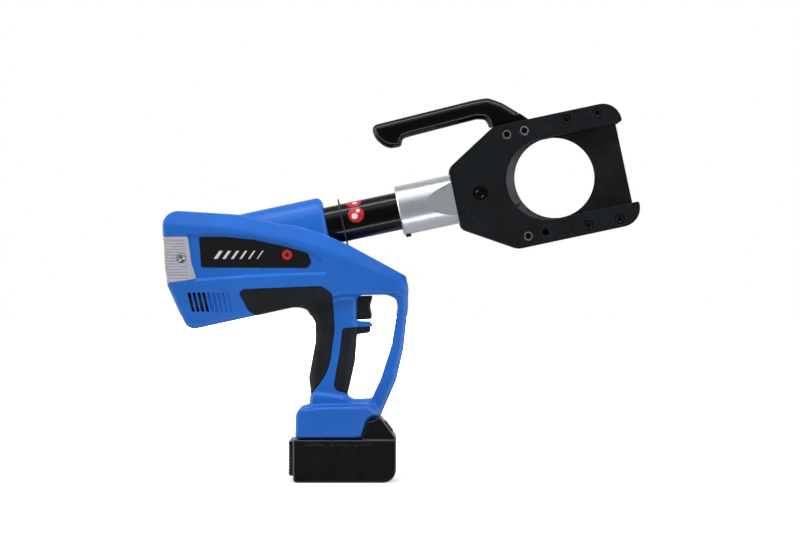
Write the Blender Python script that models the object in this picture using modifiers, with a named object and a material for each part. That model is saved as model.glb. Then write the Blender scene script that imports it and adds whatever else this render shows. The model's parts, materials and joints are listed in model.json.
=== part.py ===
"""A battery hydraulic cable cutter, modelled as the pieces it comes apart into.

Every number below is in millimetres or degrees, and the helpers turn it into metres. The world origin
is the centre of the battery's bottom face, +X runs towards the cutting head, +Z is up and -Y is the tool's
right side. The hydraulic axis rises towards the head. Pieces on it are placed under the empty "tool_axis",
which sits at the centre of the cutting opening: its X runs along the axis (called u), its Z square to it
(called w).
"""

import math

import bmesh
import bpy
from mathutils import Matrix, Vector

MM = 0.001
GAP = 0.3
TURN_STEPS = 20

# The cutting head
OPENING_X = 224.1
OPENING_Z = 321.0
TILT = 12.0
OPENING_RADIUS = 42.5
BEVEL_RADIUS = 52.0
FORK_HALF = 43.0
FORK_END = -9.0
HEAD_HALF = 66.0
HEAD_REAR = -108.5
HEAD_FRONT = 81.0
PLATE_INNER = 10.0
PLATE_OUTER = 19.5
LAYER_OUTER = PLATE_INNER - GAP
LAYER_INNER = 0.2
BLADE_HALF = 47.0
BLADE_LAND = 1.2
SCREW_RADIUS = 3.0
SCREW_HEAD_RADIUS = 5.0
SCREW_HEAD_LENGTH = 5.8
SHALLOW_HEAD = 19.2
DEEP_HEAD = 18.2
SCREW_END = 17.5
DOWEL_RADIUS = 6.7
COLLAR_PIN_RADIUS = 4.6
BLADE_PIN_RADIUS = 4.0
BLADE_PIN_U = -81.0
ACCESS_RADIUS = 8.0
HANDLE_SCREWS = {"handle_screw_rear": (-40.9, 54.8), "handle_screw_front": (-22.0, 55.0)}
SPACER_SCREWS = {"spacer_screw": (-40.9, -54.8)}
BLADE_SCREWS = {
    "blade_screw_upper_rear": (23.3, 57.0),
    "blade_screw_upper_front": (57.1, 57.2),
    "blade_screw_lower_rear": (23.3, -57.0),
    "blade_screw_lower_front": (57.1, -57.2),
}
SPARE_HOLE = (-22.0, -54.5)
SPARE_HOLE_RADIUS = 3.5
DOWELS = {"rail_dowel_upper": (0.0, 54.6), "rail_dowel_lower": (0.0, -54.6)}
COLLAR_PINS = {"collar_pin_upper": (-95.0, 18.8), "collar_pin_lower": (-95.0, -18.8)}

# The hydraulic cylinder, its collar and the ram
CYLINDER_RADIUS = 20.0
CYLINDER_BORE = 15.5
CYLINDER_REAR = -300.0
CYLINDER_FRONT = -150.0
CYLINDER_WALL = -166.0
COLLAR_RADIUS = 26.25
COLLAR_REAR = -169.0
COLLAR_FRONT = -84.0
FLAT_START = -141.0
FLAT_HALF = 19.0
SET_SCREW_U = -164.0
ROD_RADIUS = 9.0
ROD_FRONT = -70.0
PISTON_REAR = -290.0
PISTON_FRONT = -278.0
RING_U = -229.5
RING_RADIUS = 25.8
RETURN_SPRING_TURNS = 8
RETURN_SPRING_RADIUS = 12.2
RETURN_SPRING_WIRE = 1.4

# The motor, its gears and the pump, on an axis parallel to the cylinder's
MOTOR_W = -50.0
MOTOR_RADIUS = 21.0
MOTOR_REAR = -408.0
MOTOR_FRONT = -358.0
GEARBOX_FRONT = -333.0
GEAR_REAR = -352.0
GEAR_FRONT = -343.0
GEAR_MODULE = 0.8
SUN_TEETH = 12
PLANET_TEETH = 15
RING_TEETH = 42
BLOCK_REAR = -329.0
BLOCK_FRONT = -300.3
PLUNGER_U = -318.0
PLUNGER_RADIUS = 3.0
PLUNGER_FOOT = -39.4
CHAMBER_ROOF = -24.0
ECCENTRIC_RADIUS = 8.0
ECCENTRIC_THROW = 2.0

# The housing, its grips and the battery
BODY_HALF = 34.0
BRIDGE_HALF = 21.0
HANDLE_HALF = 18.0
GUARD_HALF = 11.0
FOOT_HALF = 37.0
FOOT_TOP_HALF = 22.0
SHELF_HALF = 13.0
WALL = 3.8
COVER = 2.0
SLEEVE_RADIUS = 31.5
SLEEVE_REAR = -336.0
SLEEVE_FRONT = -246.5
BATTERY_HALF = 37.5
TONGUE_HALF = 25.0
TRIGGER_HALF = 9.0
LATCH_HALF = 12.0
TERMINALS = (-8.0, 8.0)
TERMINAL_HALF = 0.5
HOUSING_SCREWS = {
    "housing_screw_nose": (-166.0, 271.0),
    "housing_screw_middle": (-35.0, 217.0),
    "housing_screw_bridge": (34.0, 215.0),
    "housing_screw_foot": (18.0, 76.5),
}
SCREW_SEATS = {
    "housing_screw_nose": 24.0,
    "housing_screw_middle": 26.0,
    "housing_screw_bridge": 13.0,
    "housing_screw_foot": 14.0,
}
CAP_SCREW = (-169.1, 235.3)
LABEL_INNER = 33.0
LABEL_OUTER = 33.8

BODY = [
    (-190.3, 286.4, 16.0),
    (-111.0, 281.5),
    (-67.3, 270.8),
    (-49.8, 269.6),
    (-15.5, 259.1),
    (6.3, 249.5),
    (14.0, 224.0),
    (0.0, 196.0),
    (-48.6, 184.3),
    (-92.0, 174.8),
    (-163.4, 159.4, 12.0),
    (-184.5, 207.5),
    (-187.6, 226.0),
]
BRIDGE = [
    (-40.0, 261.0),
    (6.3, 249.5),
    (58.3, 221.3),
    (67.5, 216.3, 6.0),
    (68.3, 197.4),
    (-40.0, 197.4),
]
HANDLE = [
    (15.1, 206.0),
    (15.1, 158.0),
    (12.4, 125.0),
    (3.0, 84.0),
    (-2.0, 70.0),
    (-34.0, 70.0),
    (-34.2, 92.0),
    (-36.6, 109.0),
    (-29.4, 149.0),
    (-30.0, 168.0),
    (-38.5, 180.9),
    (-56.0, 190.0),
]
SHELF = [(8.0, 169.3), (27.5, 168.9, 2.0), (31.6, 165.5, 2.0), (28.4, 156.6, 4.0), (8.0, 153.8)]
GUARD = [
    (45.0, 216.0),
    (63.0, 216.0),
    (68.2, 206.0, 8.0),
    (68.5, 184.1),
    (63.6, 140.0),
    (56.0, 107.1),
    (39.4, 69.0),
    (30.8, 69.0),
    (22.0, 85.6),
    (29.8, 85.7, 3.0),
    (40.0, 107.4),
    (51.6, 144.0),
    (57.9, 184.0),
    (56.2, 192.6, 3.5),
    (45.0, 199.0),
]
FOOT = [(-49.8, 46.6), (-49.1, 77.2, 5.5), (20.0, 79.5), (29.0, 66.0), (18.3, 46.6)]
FOOT_TOP = [
    (-46.0, 70.0),
    (-43.5, 78.0),
    (-34.6, 80.6),
    (-31.0, 89.5),
    (5.8, 89.0),
    (10.0, 86.1),
    (29.6, 85.9),
    (38.0, 69.8),
    (30.5, 65.8),
]
BACK_GRIP = [
    (-90.5, 168.0),
    (-92.6, 176.0),
    (-99.5, 180.4, 3.0),
    (-109.6, 199.5, 4.0),
    (-104.0, 203.3, 2.0),
    (-22.0, 206.4, 8.0),
    (-11.4, 199.0, 6.0),
    (-8.0, 162.0),
    (-13.0, 120.0),
    (-22.5, 102.0),
    (-33.5, 91.5, 3.0),
    (-44.0, 91.0),
    (-44.0, 168.0),
]
FRONT_GRIP = [
    (20.0, 147.5),
    (20.0, 93.2),
    (4.9, 93.2, 2.0),
    (-6.3, 95.8, 4.0),
    (-9.6, 101.0, 3.0),
    (-3.3, 135.6),
    (0.6, 157.0),
    (6.8, 157.0),
    (13.2, 148.5),
]
REAR_CAP = [
    (-196.0, 258.0),
    (-162.6, 258.2, 2.5),
    (-158.7, 230.4),
    (-153.4, 213.6, 2.0),
    (-196.0, 207.8),
]
LABEL = [
    (-150.6, 257.6, 1.5),
    (-123.4, 257.6),
    (-93.1, 254.6),
    (-60.8, 247.5),
    (-36.5, 240.6, 5.0),
    (-33.0, 231.0, 4.0),
    (-37.5, 225.4, 3.0),
    (-148.4, 226.0, 1.5),
]
TRIGGER = [
    (-3.0, 174.0),
    (-3.0, 192.0),
    (14.6, 196.0),
    (31.3, 196.5, 1.5),
    (28.6, 185.5, 8.0),
    (30.9, 171.2, 1.5),
    (14.6, 170.2),
]
CARRY_BAR = [
    (-179.0, 94.4, 6.0),
    (-178.0, 80.5, 6.0),
    (-167.0, 67.4, 6.0),
    (-152.8, 65.2, 4.5),
    (-149.2, 74.4),
    (-70.0, 77.9, 5.0),
    (-58.8, 76.0, 4.0),
    (-56.5, HEAD_HALF + 0.5),
    (-19.8, HEAD_HALF + 0.5),
    (-19.2, 73.0, 4.0),
    (-45.0, 94.9, 12.0),
    (-62.6, 98.6, 12.0),
]
BATTERY_RISER = [
    (26.6, 36.0),
    (26.6, 47.2),
    (31.8, 64.6),
    (39.4, 68.4, 2.5),
    (55.7, 46.8, 2.0),
    (55.7, 36.0),
]
LATCH_FOOT = (55.9, 46.9)
LATCH_SLOPE = (-0.604, 0.797)

FINISHES = {
    "body_plastic": ((0.022, 0.13, 0.62), 0.38, 0.0),
    "grip_rubber": ((0.012, 0.014, 0.017), 0.75, 0.0),
    "cap_plastic": ((0.48, 0.48, 0.53), 0.35, 0.0),
    "label_film": ((0.01, 0.01, 0.011), 0.25, 0.0),
    "black_plastic": ((0.012, 0.012, 0.013), 0.4, 0.0),
    "gloss_black": ((0.006, 0.006, 0.007), 0.12, 0.0),
    "phosphated_steel": ((0.016, 0.018, 0.02), 0.5, 0.7),
    "blade_steel": ((0.03, 0.033, 0.036), 0.35, 0.9),
    "satin_nickel": ((0.62, 0.63, 0.66), 0.25, 1.0),
    "bright_steel": ((0.58, 0.58, 0.6), 0.2, 1.0),
    "cast_aluminium": ((0.55, 0.56, 0.58), 0.5, 1.0),
    "motor_steel": ((0.3, 0.3, 0.32), 0.4, 1.0),
    "brass": ((0.6, 0.44, 0.17), 0.3, 1.0),
    "seal_rubber": ((0.01, 0.01, 0.01), 0.6, 0.0),
    "cell_wrap": ((0.03, 0.22, 0.12), 0.4, 0.0),
}


def clear_scene():
    for obj in list(bpy.data.objects):
        bpy.data.objects.remove(obj, do_unlink=True)


def new_collection(name):
    collection = bpy.data.collections.new(name)
    bpy.context.scene.collection.children.link(collection)
    return collection


def finish(name):
    """The material called name, made on first use."""
    material = bpy.data.materials.get(name)
    if material is None:
        color, roughness, metallic = FINISHES[name]
        material = bpy.data.materials.new(name)
        material.use_nodes = True
        shader = material.node_tree.nodes["Principled BSDF"]
        shader.inputs["Base Color"].default_value = (*color, 1.0)
        shader.inputs["Roughness"].default_value = roughness
        shader.inputs["Metallic"].default_value = metallic
    return material


def add_object(name, data, material, frame):
    """Links data as a piece with a material, or as a hidden cutter when material is None."""
    obj = bpy.data.objects.new(name, data)
    obj.parent = frame
    if material is None:
        CUTTERS.objects.link(obj)
        obj.hide_render = True
        obj.display_type = "WIRE"
    else:
        PIECES.objects.link(obj)
        data.materials.append(finish(material))
    return obj


def add_empty(name, location, rotation_y=0.0):
    empty = bpy.data.objects.new(name, None)
    empty.location = Vector(location) * MM
    empty.rotation_euler = (0.0, math.radians(rotation_y), 0.0)
    PIECES.objects.link(empty)
    return empty


def rounded(corners, steps=3):
    """Points of an outline whose corners are (x, z) or, with an arc of that radius, (x, z, radius)."""
    points = []
    for i, corner in enumerate(corners):
        here = Vector(corner[:2])
        if len(corner) == 2:
            points.append(tuple(here))
            continue
        back = (Vector(corners[i - 1][:2]) - here).normalized()
        ahead = (Vector(corners[(i + 1) % len(corners)][:2]) - here).normalized()
        half = back.angle(ahead) / 2.0
        centre = here + (back + ahead).normalized() * (corner[2] / math.sin(half))
        reach = corner[2] / math.tan(half)
        start = here + back * reach - centre
        end = here + ahead * reach - centre
        first = math.atan2(start.y, start.x)
        sweep = math.atan2(end.y, end.x) - first
        sweep = (sweep + math.pi) % (2.0 * math.pi) - math.pi
        for k in range(steps + 1):
            angle = first + sweep * k / steps
            points.append(tuple(centre + Vector((math.cos(angle), math.sin(angle))) * corner[2]))
    return points


def circle(centre, radius, steps=16):
    angles = [2.0 * math.pi * k / steps for k in range(steps)]
    return [(centre[0] + radius * math.cos(a), centre[1] + radius * math.sin(a)) for a in angles]


def arc(radius, first, last, steps):
    """Points of an arc about the opening's centre, from angle first to last."""
    angles = [math.radians(first + (last - first) * k / steps) for k in range(steps + 1)]
    return [(radius * math.cos(a), radius * math.sin(a)) for a in angles]


def inset(corners, amount):
    """The outline moved inwards by amount: its corners run clockwise, seen from the tool's right side."""
    result = []
    for i, corner in enumerate(corners):
        here = Vector(corner[:2])
        back = (here - Vector(corners[i - 1][:2])).normalized()
        ahead = (Vector(corners[(i + 1) % len(corners)][:2]) - here).normalized()
        normal_back = Vector((back.y, -back.x))
        normal_ahead = Vector((ahead.y, -ahead.x))
        middle = (normal_back + normal_ahead).normalized()
        moved = here + middle * (amount / middle.dot(normal_back))
        radius = [max(corner[2] - amount, 0.5)] if len(corner) == 3 else []
        result.append((moved.x, moved.y, *radius))
    return result


def clean(mesh):
    """Welds a mesh's loose caps and points its faces outwards."""
    shape = bmesh.new()
    shape.from_mesh(mesh)
    bmesh.ops.remove_doubles(shape, verts=shape.verts, dist=1e-6)
    bmesh.ops.recalc_face_normals(shape, faces=shape.faces)
    if shape.calc_volume(signed=True) < 0.0:
        bmesh.ops.reverse_faces(shape, faces=shape.faces)
    shape.to_mesh(mesh)
    shape.free()


def evaluated_mesh(obj):
    bpy.context.view_layer.update()
    evaluated = obj.evaluated_get(bpy.context.evaluated_depsgraph_get())
    return bpy.data.meshes.new_from_object(evaluated)


def slab(name, loops, low, high, material=None, frame=None, bevel=0.0, segments=2):
    """A flat outline in X and Z, thick from y = low to y = high; further loops are holes."""
    curve = bpy.data.curves.new(name, "CURVE")
    curve.dimensions = "2D"
    curve.fill_mode = "BOTH"
    curve.extrude = (high - low) / 2.0 * MM
    for loop in loops:
        spline = curve.splines.new("POLY")
        spline.points.add(len(loop) - 1)
        spline.use_cyclic_u = True
        for point, (x, z) in zip(spline.points, loop):
            point.co = (x * MM, z * MM, 0.0, 1.0)
    guide = bpy.data.objects.new(name + "_guide", curve)
    CUTTERS.objects.link(guide)
    mesh = evaluated_mesh(guide)
    bpy.data.objects.remove(guide)
    clean(mesh)
    obj = add_object(name, mesh, material, frame)
    obj.location = (0.0, (low + high) / 2.0 * MM, 0.0)
    obj.rotation_euler = (math.pi / 2.0, 0.0, 0.0)
    if bevel:
        add_bevel(obj, bevel, segments)
    return obj


def add_bevel(obj, width, segments=2):
    bevel = obj.modifiers.new("edges", "BEVEL")
    bevel.width = width * MM
    bevel.segments = segments
    bevel.limit_method = "ANGLE"
    bevel.angle_limit = math.radians(40.0)
    bevel.use_clamp_overlap = False


def box(name, low, high, material=None, frame=None):
    shape = bmesh.new()
    middle = (Vector(low) + Vector(high)) / 2.0 * MM
    size = (Vector(high) - Vector(low)) * MM
    matrix = Matrix.Translation(middle) @ Matrix.Diagonal((*size, 1.0))
    bmesh.ops.create_cube(shape, size=1.0, matrix=matrix)
    mesh = bpy.data.meshes.new(name)
    shape.to_mesh(mesh)
    shape.free()
    return add_object(name, mesh, material, frame)


def cylinder(
    name, axis, centre, low, high, radius, material=None, frame=None, segments=TURN_STEPS, tip=None
):
    """A cylinder or cone along axis "X", "Y" or "Z"; centre holds the other two coordinates, in order."""
    turns = {
        "X": Matrix.Rotation(math.pi / 2.0, 4, "Y"),
        "Y": Matrix.Rotation(-math.pi / 2.0, 4, "X"),
        "Z": Matrix.Identity(4),
    }
    middle = (low + high) / 2.0
    places = {
        "X": (middle, *centre),
        "Y": (centre[0], middle, centre[1]),
        "Z": (*centre, middle),
    }
    shape = bmesh.new()
    bmesh.ops.create_cone(
        shape,
        cap_ends=True,
        segments=segments,
        radius1=radius * MM,
        radius2=(radius if tip is None else tip) * MM,
        depth=(high - low) * MM,
        matrix=Matrix.Translation(Vector(places[axis]) * MM) @ turns[axis],
    )
    mesh = bpy.data.meshes.new(name)
    shape.to_mesh(mesh)
    shape.free()
    return add_object(name, mesh, material, frame)


def turned(
    name, profile, material=None, frame=None, offset=0.0, closed=False, axis="X", steps=TURN_STEPS
):
    """A piece turned about the X or Z axis.

    The profile's points are (place along the axis, radius), and its outer side runs from front to rear.
    """
    shape = bmesh.new()
    points = [shape.verts.new((radius * MM, 0.0, along * MM)) for along, radius in profile]
    for a, b in zip(points, points[1:]):
        shape.edges.new((a, b))
    if closed:
        shape.edges.new((points[-1], points[0]))
    mesh = bpy.data.meshes.new(name)
    shape.to_mesh(mesh)
    shape.free()
    obj = add_object(name, mesh, material, frame)
    if axis == "X":
        obj.rotation_euler = (0.0, math.pi / 2.0, 0.0)
        obj.location = (0.0, 0.0, offset * MM)
    else:
        obj.location = (offset * MM, 0.0, 0.0)
    screw = obj.modifiers.new("turn", "SCREW")
    screw.axis = "Z"
    screw.steps = steps
    screw.render_steps = steps
    screw.use_merge_vertices = True
    screw.merge_threshold = 1e-5
    return obj


def coil(name, axis, centre, low, high, radius, wire, turns, material, frame):
    """A coil spring's wire, as a curve along axis "X" or "Z"."""
    per_turn = 8
    curve = bpy.data.curves.new(name, "CURVE")
    curve.dimensions = "3D"
    curve.bevel_depth = wire * MM
    curve.bevel_resolution = 1
    curve.use_fill_caps = True
    spline = curve.splines.new("POLY")
    count = turns * per_turn
    spline.points.add(count)
    for k, point in enumerate(spline.points):
        angle = 2.0 * math.pi * k / per_turn
        along = low + (high - low) * k / count
        across = (centre[0] + radius * math.cos(angle), centre[1] + radius * math.sin(angle))
        place = (along, *across) if axis == "X" else (*across, along)
        point.co = (*(Vector(place) * MM), 1.0)
    guide = bpy.data.objects.new(name + "_guide", curve)
    CUTTERS.objects.link(guide)
    mesh = evaluated_mesh(guide)
    bpy.data.objects.remove(guide)
    clean(mesh)
    return add_object(name, mesh, material, frame)


def combine(obj, tool, operation="DIFFERENCE", solver="EXACT"):
    boolean = obj.modifiers.new(tool.name, "BOOLEAN")
    boolean.operation = operation
    boolean.solver = solver
    boolean.object = tool
    return obj


def join(obj, *tools, solver="EXACT"):
    for tool in tools:
        combine(obj, tool, "UNION", solver)
    return obj


def cut(obj, *tools, solver="EXACT"):
    for tool in tools:
        combine(obj, tool, "DIFFERENCE", solver)
    return obj


def settled(name, source, material=None):
    """A new object holding source's shape with its modifiers applied, in world space."""
    mesh = evaluated_mesh(source)
    mesh.transform(source.matrix_world)
    mesh.materials.clear()
    clean(mesh)
    return add_object(name, mesh, material, None)


def shade(obj):
    """Smooth shading that keeps the edges of flat faces sharp."""
    obj.data.shade_smooth()
    obj.data.set_sharp_from_angle(angle=math.radians(35.0))


# ---------------------------------------------------------------------------------------------- head


def circles(places, radius, steps=8):
    return [circle(place, radius, steps) for place in places.values()]


def cheek_plates(axis):
    outline = rounded(
        [(HEAD_REAR, -32.5, 5.0), (HEAD_REAR, 32.5, 5.0), (-52.5, HEAD_HALF, 14.0)]
        + [(HEAD_FRONT, HEAD_HALF, 20.0), (HEAD_FRONT, FORK_HALF, 3.0)]
        + [(FORK_END + u, w) for u, w in arc(FORK_HALF, 90.0, 270.0, 14)]
        + [(HEAD_FRONT, -FORK_HALF, 3.0), (HEAD_FRONT, -HEAD_HALF, 20.0), (-52.5, -HEAD_HALF, 14.0)]
    )
    shallow_screws = {**HANDLE_SCREWS, **SPACER_SCREWS}
    loops = [outline, circle((BLADE_PIN_U, 0.0), ACCESS_RADIUS)]
    loops += circles({**shallow_screws, **BLADE_SCREWS}, SCREW_RADIUS + GAP)
    loops += circles(DOWELS, DOWEL_RADIUS + GAP, 12)
    loops += circles(COLLAR_PINS, COLLAR_PIN_RADIUS + GAP, 12)
    spare = circle(SPARE_HOLE, SPARE_HOLE_RADIUS, 12)
    right = slab("cheek_plate_right", loops + [spare], -PLATE_OUTER, -PLATE_INNER, "phosphated_steel", axis)
    slab("cheek_plate_left", loops, PLATE_INNER, PLATE_OUTER, "phosphated_steel", axis)
    bore = SCREW_HEAD_RADIUS + GAP
    floor = -SHALLOW_HEAD + SCREW_HEAD_LENGTH + 0.2
    cut(right, slab("shallow_bores", circles(shallow_screws, bore, 12), -25.0, floor, None, axis))
    floor = -DEEP_HEAD + SCREW_HEAD_LENGTH + 0.2
    cut(right, slab("deep_bores", circles(BLADE_SCREWS, bore, 12), -25.0, floor, None, axis))


def cap_screw(name, place, top, bottom, axis):
    """A socket-head screw along +Y: its head starts at y = top and its shank ends at y = bottom."""
    bottom_of_head = top + SCREW_HEAD_LENGTH
    head = cylinder(name, "Y", place, top, bottom_of_head, SCREW_HEAD_RADIUS, "phosphated_steel", axis, 16)
    shank = cylinder(name + "_shank", "Y", place, top + 3.0, bottom, SCREW_RADIUS, None, axis, 12)
    socket = cylinder(name + "_socket", "Y", place, top - 2.0, top + 2.5, 2.9, None, axis, 6)
    cut(join(head, shank), socket)


def head_fasteners(axis):
    for name, place in {**HANDLE_SCREWS, **SPACER_SCREWS}.items():
        cap_screw(name, place, -SHALLOW_HEAD, SCREW_END, axis)
    for name, place in BLADE_SCREWS.items():
        cap_screw(name, place, -DEEP_HEAD, SCREW_END, axis)
    for pins, radius in ((DOWELS, DOWEL_RADIUS), (COLLAR_PINS, COLLAR_PIN_RADIUS)):
        for name, place in pins.items():
            cylinder(name, "Y", place, -PLATE_OUTER, PLATE_OUTER, radius, "phosphated_steel", axis, 16)


def bevel_cone(name, sign, axis):
    """The cone that grinds a blade's cutting edge: widest at the blade's outer face."""
    slope = (BEVEL_RADIUS - OPENING_RADIUS) / (LAYER_OUTER - BLADE_LAND)
    outer = BEVEL_RADIUS + slope * 2.0
    inner = OPENING_RADIUS - slope * 2.0
    low = BLADE_LAND - 2.0
    high = LAYER_OUTER + 2.0
    if sign > 0:
        return cylinder(name, "Y", (0.0, 0.0), low, high, inner, None, axis, 40, tip=outer)
    return cylinder(name, "Y", (0.0, 0.0), -high, -low, outer, None, axis, 40, tip=inner)


def fixed_blade(axis):
    arm = 8.0
    front = 75.5
    outline = rounded(
        [(-arm, OPENING_RADIUS), (-arm, HEAD_HALF - 0.5), (front, HEAD_HALF - 0.5, 17.0)]
        + [(front, -HEAD_HALF + 0.5, 17.0), (-arm, -HEAD_HALF + 0.5), (-arm, -OPENING_RADIUS)]
        + arc(OPENING_RADIUS, -90.0, 90.0, 20)
    )
    loops = [outline] + circles(BLADE_SCREWS, SCREW_RADIUS + GAP) + circles(DOWELS, DOWEL_RADIUS + GAP, 12)
    blade = slab("fixed_blade", loops, LAYER_INNER, LAYER_OUTER, "blade_steel", axis)
    cut(blade, bevel_cone("fixed_bevel", 1, axis))


def moving_blade(axis):
    tip = -4.0
    ends = math.degrees(math.acos(tip / OPENING_RADIUS))
    tail = 12.0
    rear = -92.0
    neck = -82.5
    shoulder = -60.0
    outline = rounded(
        [(rear, -tail, 3.0), (rear, tail, 3.0), (neck, tail), (shoulder, BLADE_HALF, 4.0)]
        + [(tip, BLADE_HALF, 1.0)]
        + arc(OPENING_RADIUS, ends, 360.0 - ends, 20)
        + [(tip, -BLADE_HALF, 1.0), (shoulder, -BLADE_HALF, 4.0), (neck, -tail)]
    )
    hole = circle((BLADE_PIN_U, 0.0), BLADE_PIN_RADIUS + GAP)
    blade = slab("moving_blade", [outline, hole], -LAYER_OUTER, -LAYER_INNER, "blade_steel", axis)
    cut(blade, bevel_cone("moving_bevel", -1, axis))


def blade_rails(axis):
    for name, sign in (("upper_blade_rail", 1.0), ("lower_blade_rail", -1.0)):
        inner = sign * (BLADE_HALF + 0.4)
        outer = sign * (HEAD_HALF - 0.5)
        outline = rounded([(-8.0, inner), (-8.0, outer), (79.0, outer, 17.5), (79.0, inner)])
        screws = {k: v for k, v in BLADE_SCREWS.items() if v[1] * sign > 0.0}
        dowels = {k: v for k, v in DOWELS.items() if v[1] * sign > 0.0}
        loops = [outline] + circles(screws, SCREW_RADIUS + GAP) + circles(dowels, DOWEL_RADIUS + GAP, 12)
        slab(name, loops, -LAYER_OUTER, -LAYER_INNER, "phosphated_steel", axis)


def lower_spacer(axis):
    inner = -48.0
    outer = -HEAD_HALF + 0.5
    outline = [(-53.0, inner), (-12.0, inner), (-12.0, outer), (-46.0, outer), (-53.0, -61.0)]
    loops = [outline, circle(SPARE_HOLE, SPARE_HOLE_RADIUS, 12)]
    loops += circles(SPACER_SCREWS, SCREW_RADIUS + GAP)
    slab("lower_spacer", loops, -LAYER_OUTER, LAYER_OUTER, "phosphated_steel", axis)


def carry_handle(axis):
    bar = slab("carry_handle", [rounded(CARRY_BAR)], -11.0, 11.0, "gloss_black", axis)
    foot = rounded([(-53.0, 48.0), (-53.0, 74.0), (-22.0, 74.0), (-12.0, 63.0, 4.0), (-12.0, 48.0)])
    lug = slab("handle_lug", [foot], -LAYER_OUTER, LAYER_OUTER, None, axis)
    holes = slab("lug_holes", circles(HANDLE_SCREWS, SCREW_RADIUS + GAP), -15.0, 15.0, None, axis)
    cut(join(bar, lug), holes)


# --------------------------------------------------------------------------------- cylinder and ram


def head_collar(axis):
    profile = [(COLLAR_FRONT, 0.0), (COLLAR_FRONT, COLLAR_RADIUS), (COLLAR_REAR + 1.0, COLLAR_RADIUS)]
    profile += [(COLLAR_REAR, COLLAR_RADIUS - 1.0), (COLLAR_REAR, 0.0)]
    collar = turned("head_collar", profile, "satin_nickel", axis, steps=28)
    shoulder = HEAD_REAR - GAP
    plan = [(COLLAR_REAR - 5.0, 30.0), (FLAT_START, 26.5), (shoulder, FLAT_HALF), (shoulder, LAYER_OUTER)]
    plan += [(COLLAR_FRONT + 5.0, LAYER_OUTER)]
    plan += [(u, -y) for u, y in reversed(plan)]
    flats = slab("collar_flats", [plan], -40.0, 40.0, None, axis)
    flats.rotation_euler = (0.0, 0.0, 0.0)
    flats.location = (0.0, 0.0, 0.0)
    combine(collar, flats, "INTERSECT", "MANIFOLD")
    seat = CYLINDER_FRONT + GAP
    middle = (0.0, 0.0)
    pins = circles(COLLAR_PINS, COLLAR_PIN_RADIUS + GAP, 12)
    place = (SET_SCREW_U, 0.0)
    cut(
        collar,
        cylinder(
            "collar_seat", "X", middle, COLLAR_REAR - 5.0, seat, CYLINDER_RADIUS + GAP, None, axis, 28
        ),
        cylinder("collar_rod_hole", "X", middle, seat - 1.0, -90.0, ROD_RADIUS + 0.6, None, axis),
        box("collar_slot", (HEAD_REAR, -20.0, -12.5), (COLLAR_FRONT + 5.0, 20.0, 12.5), None, axis),
        slab("collar_pin_holes", pins, -30.0, 30.0, None, axis),
        cylinder("set_screw_hole", "Z", place, -40.0, -15.0, SCREW_RADIUS + GAP, None, axis, 20),
        solver="MANIFOLD",
    )
    top = -19.2
    tip = -28.9
    screw = cylinder("collar_set_screw", "Z", place, tip, top, SCREW_RADIUS, "phosphated_steel", axis, 20)
    cut(screw, cylinder("set_screw_socket", "Z", place, tip - 2.0, tip + 2.0, 1.6, None, axis, 6))


def hydraulic_cylinder(axis):
    groove = CYLINDER_RADIUS - 1.4
    profile = [
        (CYLINDER_FRONT, ROD_RADIUS + GAP),
        (CYLINDER_FRONT, CYLINDER_RADIUS - 1.0),
        (CYLINDER_FRONT - 1.0, CYLINDER_RADIUS),
        (SET_SCREW_U + 3.6, CYLINDER_RADIUS),
        (SET_SCREW_U + 3.6, groove),
        (SET_SCREW_U - 3.6, groove),
        (SET_SCREW_U - 3.6, CYLINDER_RADIUS),
        (CYLINDER_REAR, CYLINDER_RADIUS),
        (CYLINDER_REAR, CYLINDER_BORE),
        (CYLINDER_WALL, CYLINDER_BORE),
        (CYLINDER_WALL, ROD_RADIUS + GAP),
    ]
    turned("hydraulic_cylinder", profile, "gloss_black", axis, closed=True, steps=28)
    front = RING_U + 1.6
    rear = RING_U - 1.6
    inner = CYLINDER_RADIUS + GAP
    ring = [(front, inner), (front, RING_RADIUS), (rear, RING_RADIUS), (rear, inner)]
    turned("swivel_ring", ring, "black_plastic", axis, closed=True, steps=28)


def ram(axis):
    stub = 6.0
    profile = [
        (ROD_FRONT, 0.0),
        (ROD_FRONT, ROD_RADIUS - 1.0),
        (ROD_FRONT - 1.0, ROD_RADIUS),
        (PISTON_FRONT + GAP, ROD_RADIUS),
        (PISTON_FRONT + GAP, stub),
        (PISTON_REAR, stub),
        (PISTON_REAR, 0.0),
    ]
    rod = turned("ram_rod", profile, "bright_steel", axis)
    place = (BLADE_PIN_U, 0.0)
    hole = BLADE_PIN_RADIUS + GAP
    cut(
        rod,
        box("rod_flat", (-92.3, -15.0, -15.0), (ROD_FRONT + 5.0, LAYER_INNER, 15.0), None, axis),
        cylinder("rod_pin_hole", "Y", place, -15.0, 15.0, hole, None, axis, 20),
    )
    cylinder("blade_pin", "Y", place, -9.4, 8.4, BLADE_PIN_RADIUS, "phosphated_steel", axis, 20)
    outer = CYLINDER_BORE - GAP
    groove = outer - 2.6
    middle = (PISTON_REAR + PISTON_FRONT) / 2.0
    ring = 2.2
    profile = [
        (PISTON_FRONT, stub + GAP),
        (PISTON_FRONT, outer),
        (middle + ring, outer),
        (middle + ring, groove),
        (middle - ring, groove),
        (middle - ring, outer),
        (PISTON_REAR, outer),
        (PISTON_REAR, stub + GAP),
    ]
    turned("piston", profile, "bright_steel", axis, closed=True)
    ring -= GAP
    seal = [(middle + ring, groove + GAP), (middle + ring, outer + 0.2), (middle - ring, outer + 0.2)]
    seal += [(middle - ring, groove + GAP)]
    turned("piston_seal", seal, "seal_rubber", axis, closed=True)
    clear = RETURN_SPRING_WIRE + GAP
    coil(
        "return_spring",
        "X",
        (0.0, 0.0),
        PISTON_FRONT + clear,
        CYLINDER_WALL - clear,
        RETURN_SPRING_RADIUS,
        RETURN_SPRING_WIRE,
        RETURN_SPRING_TURNS,
        "bright_steel",
        axis,
    )


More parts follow.
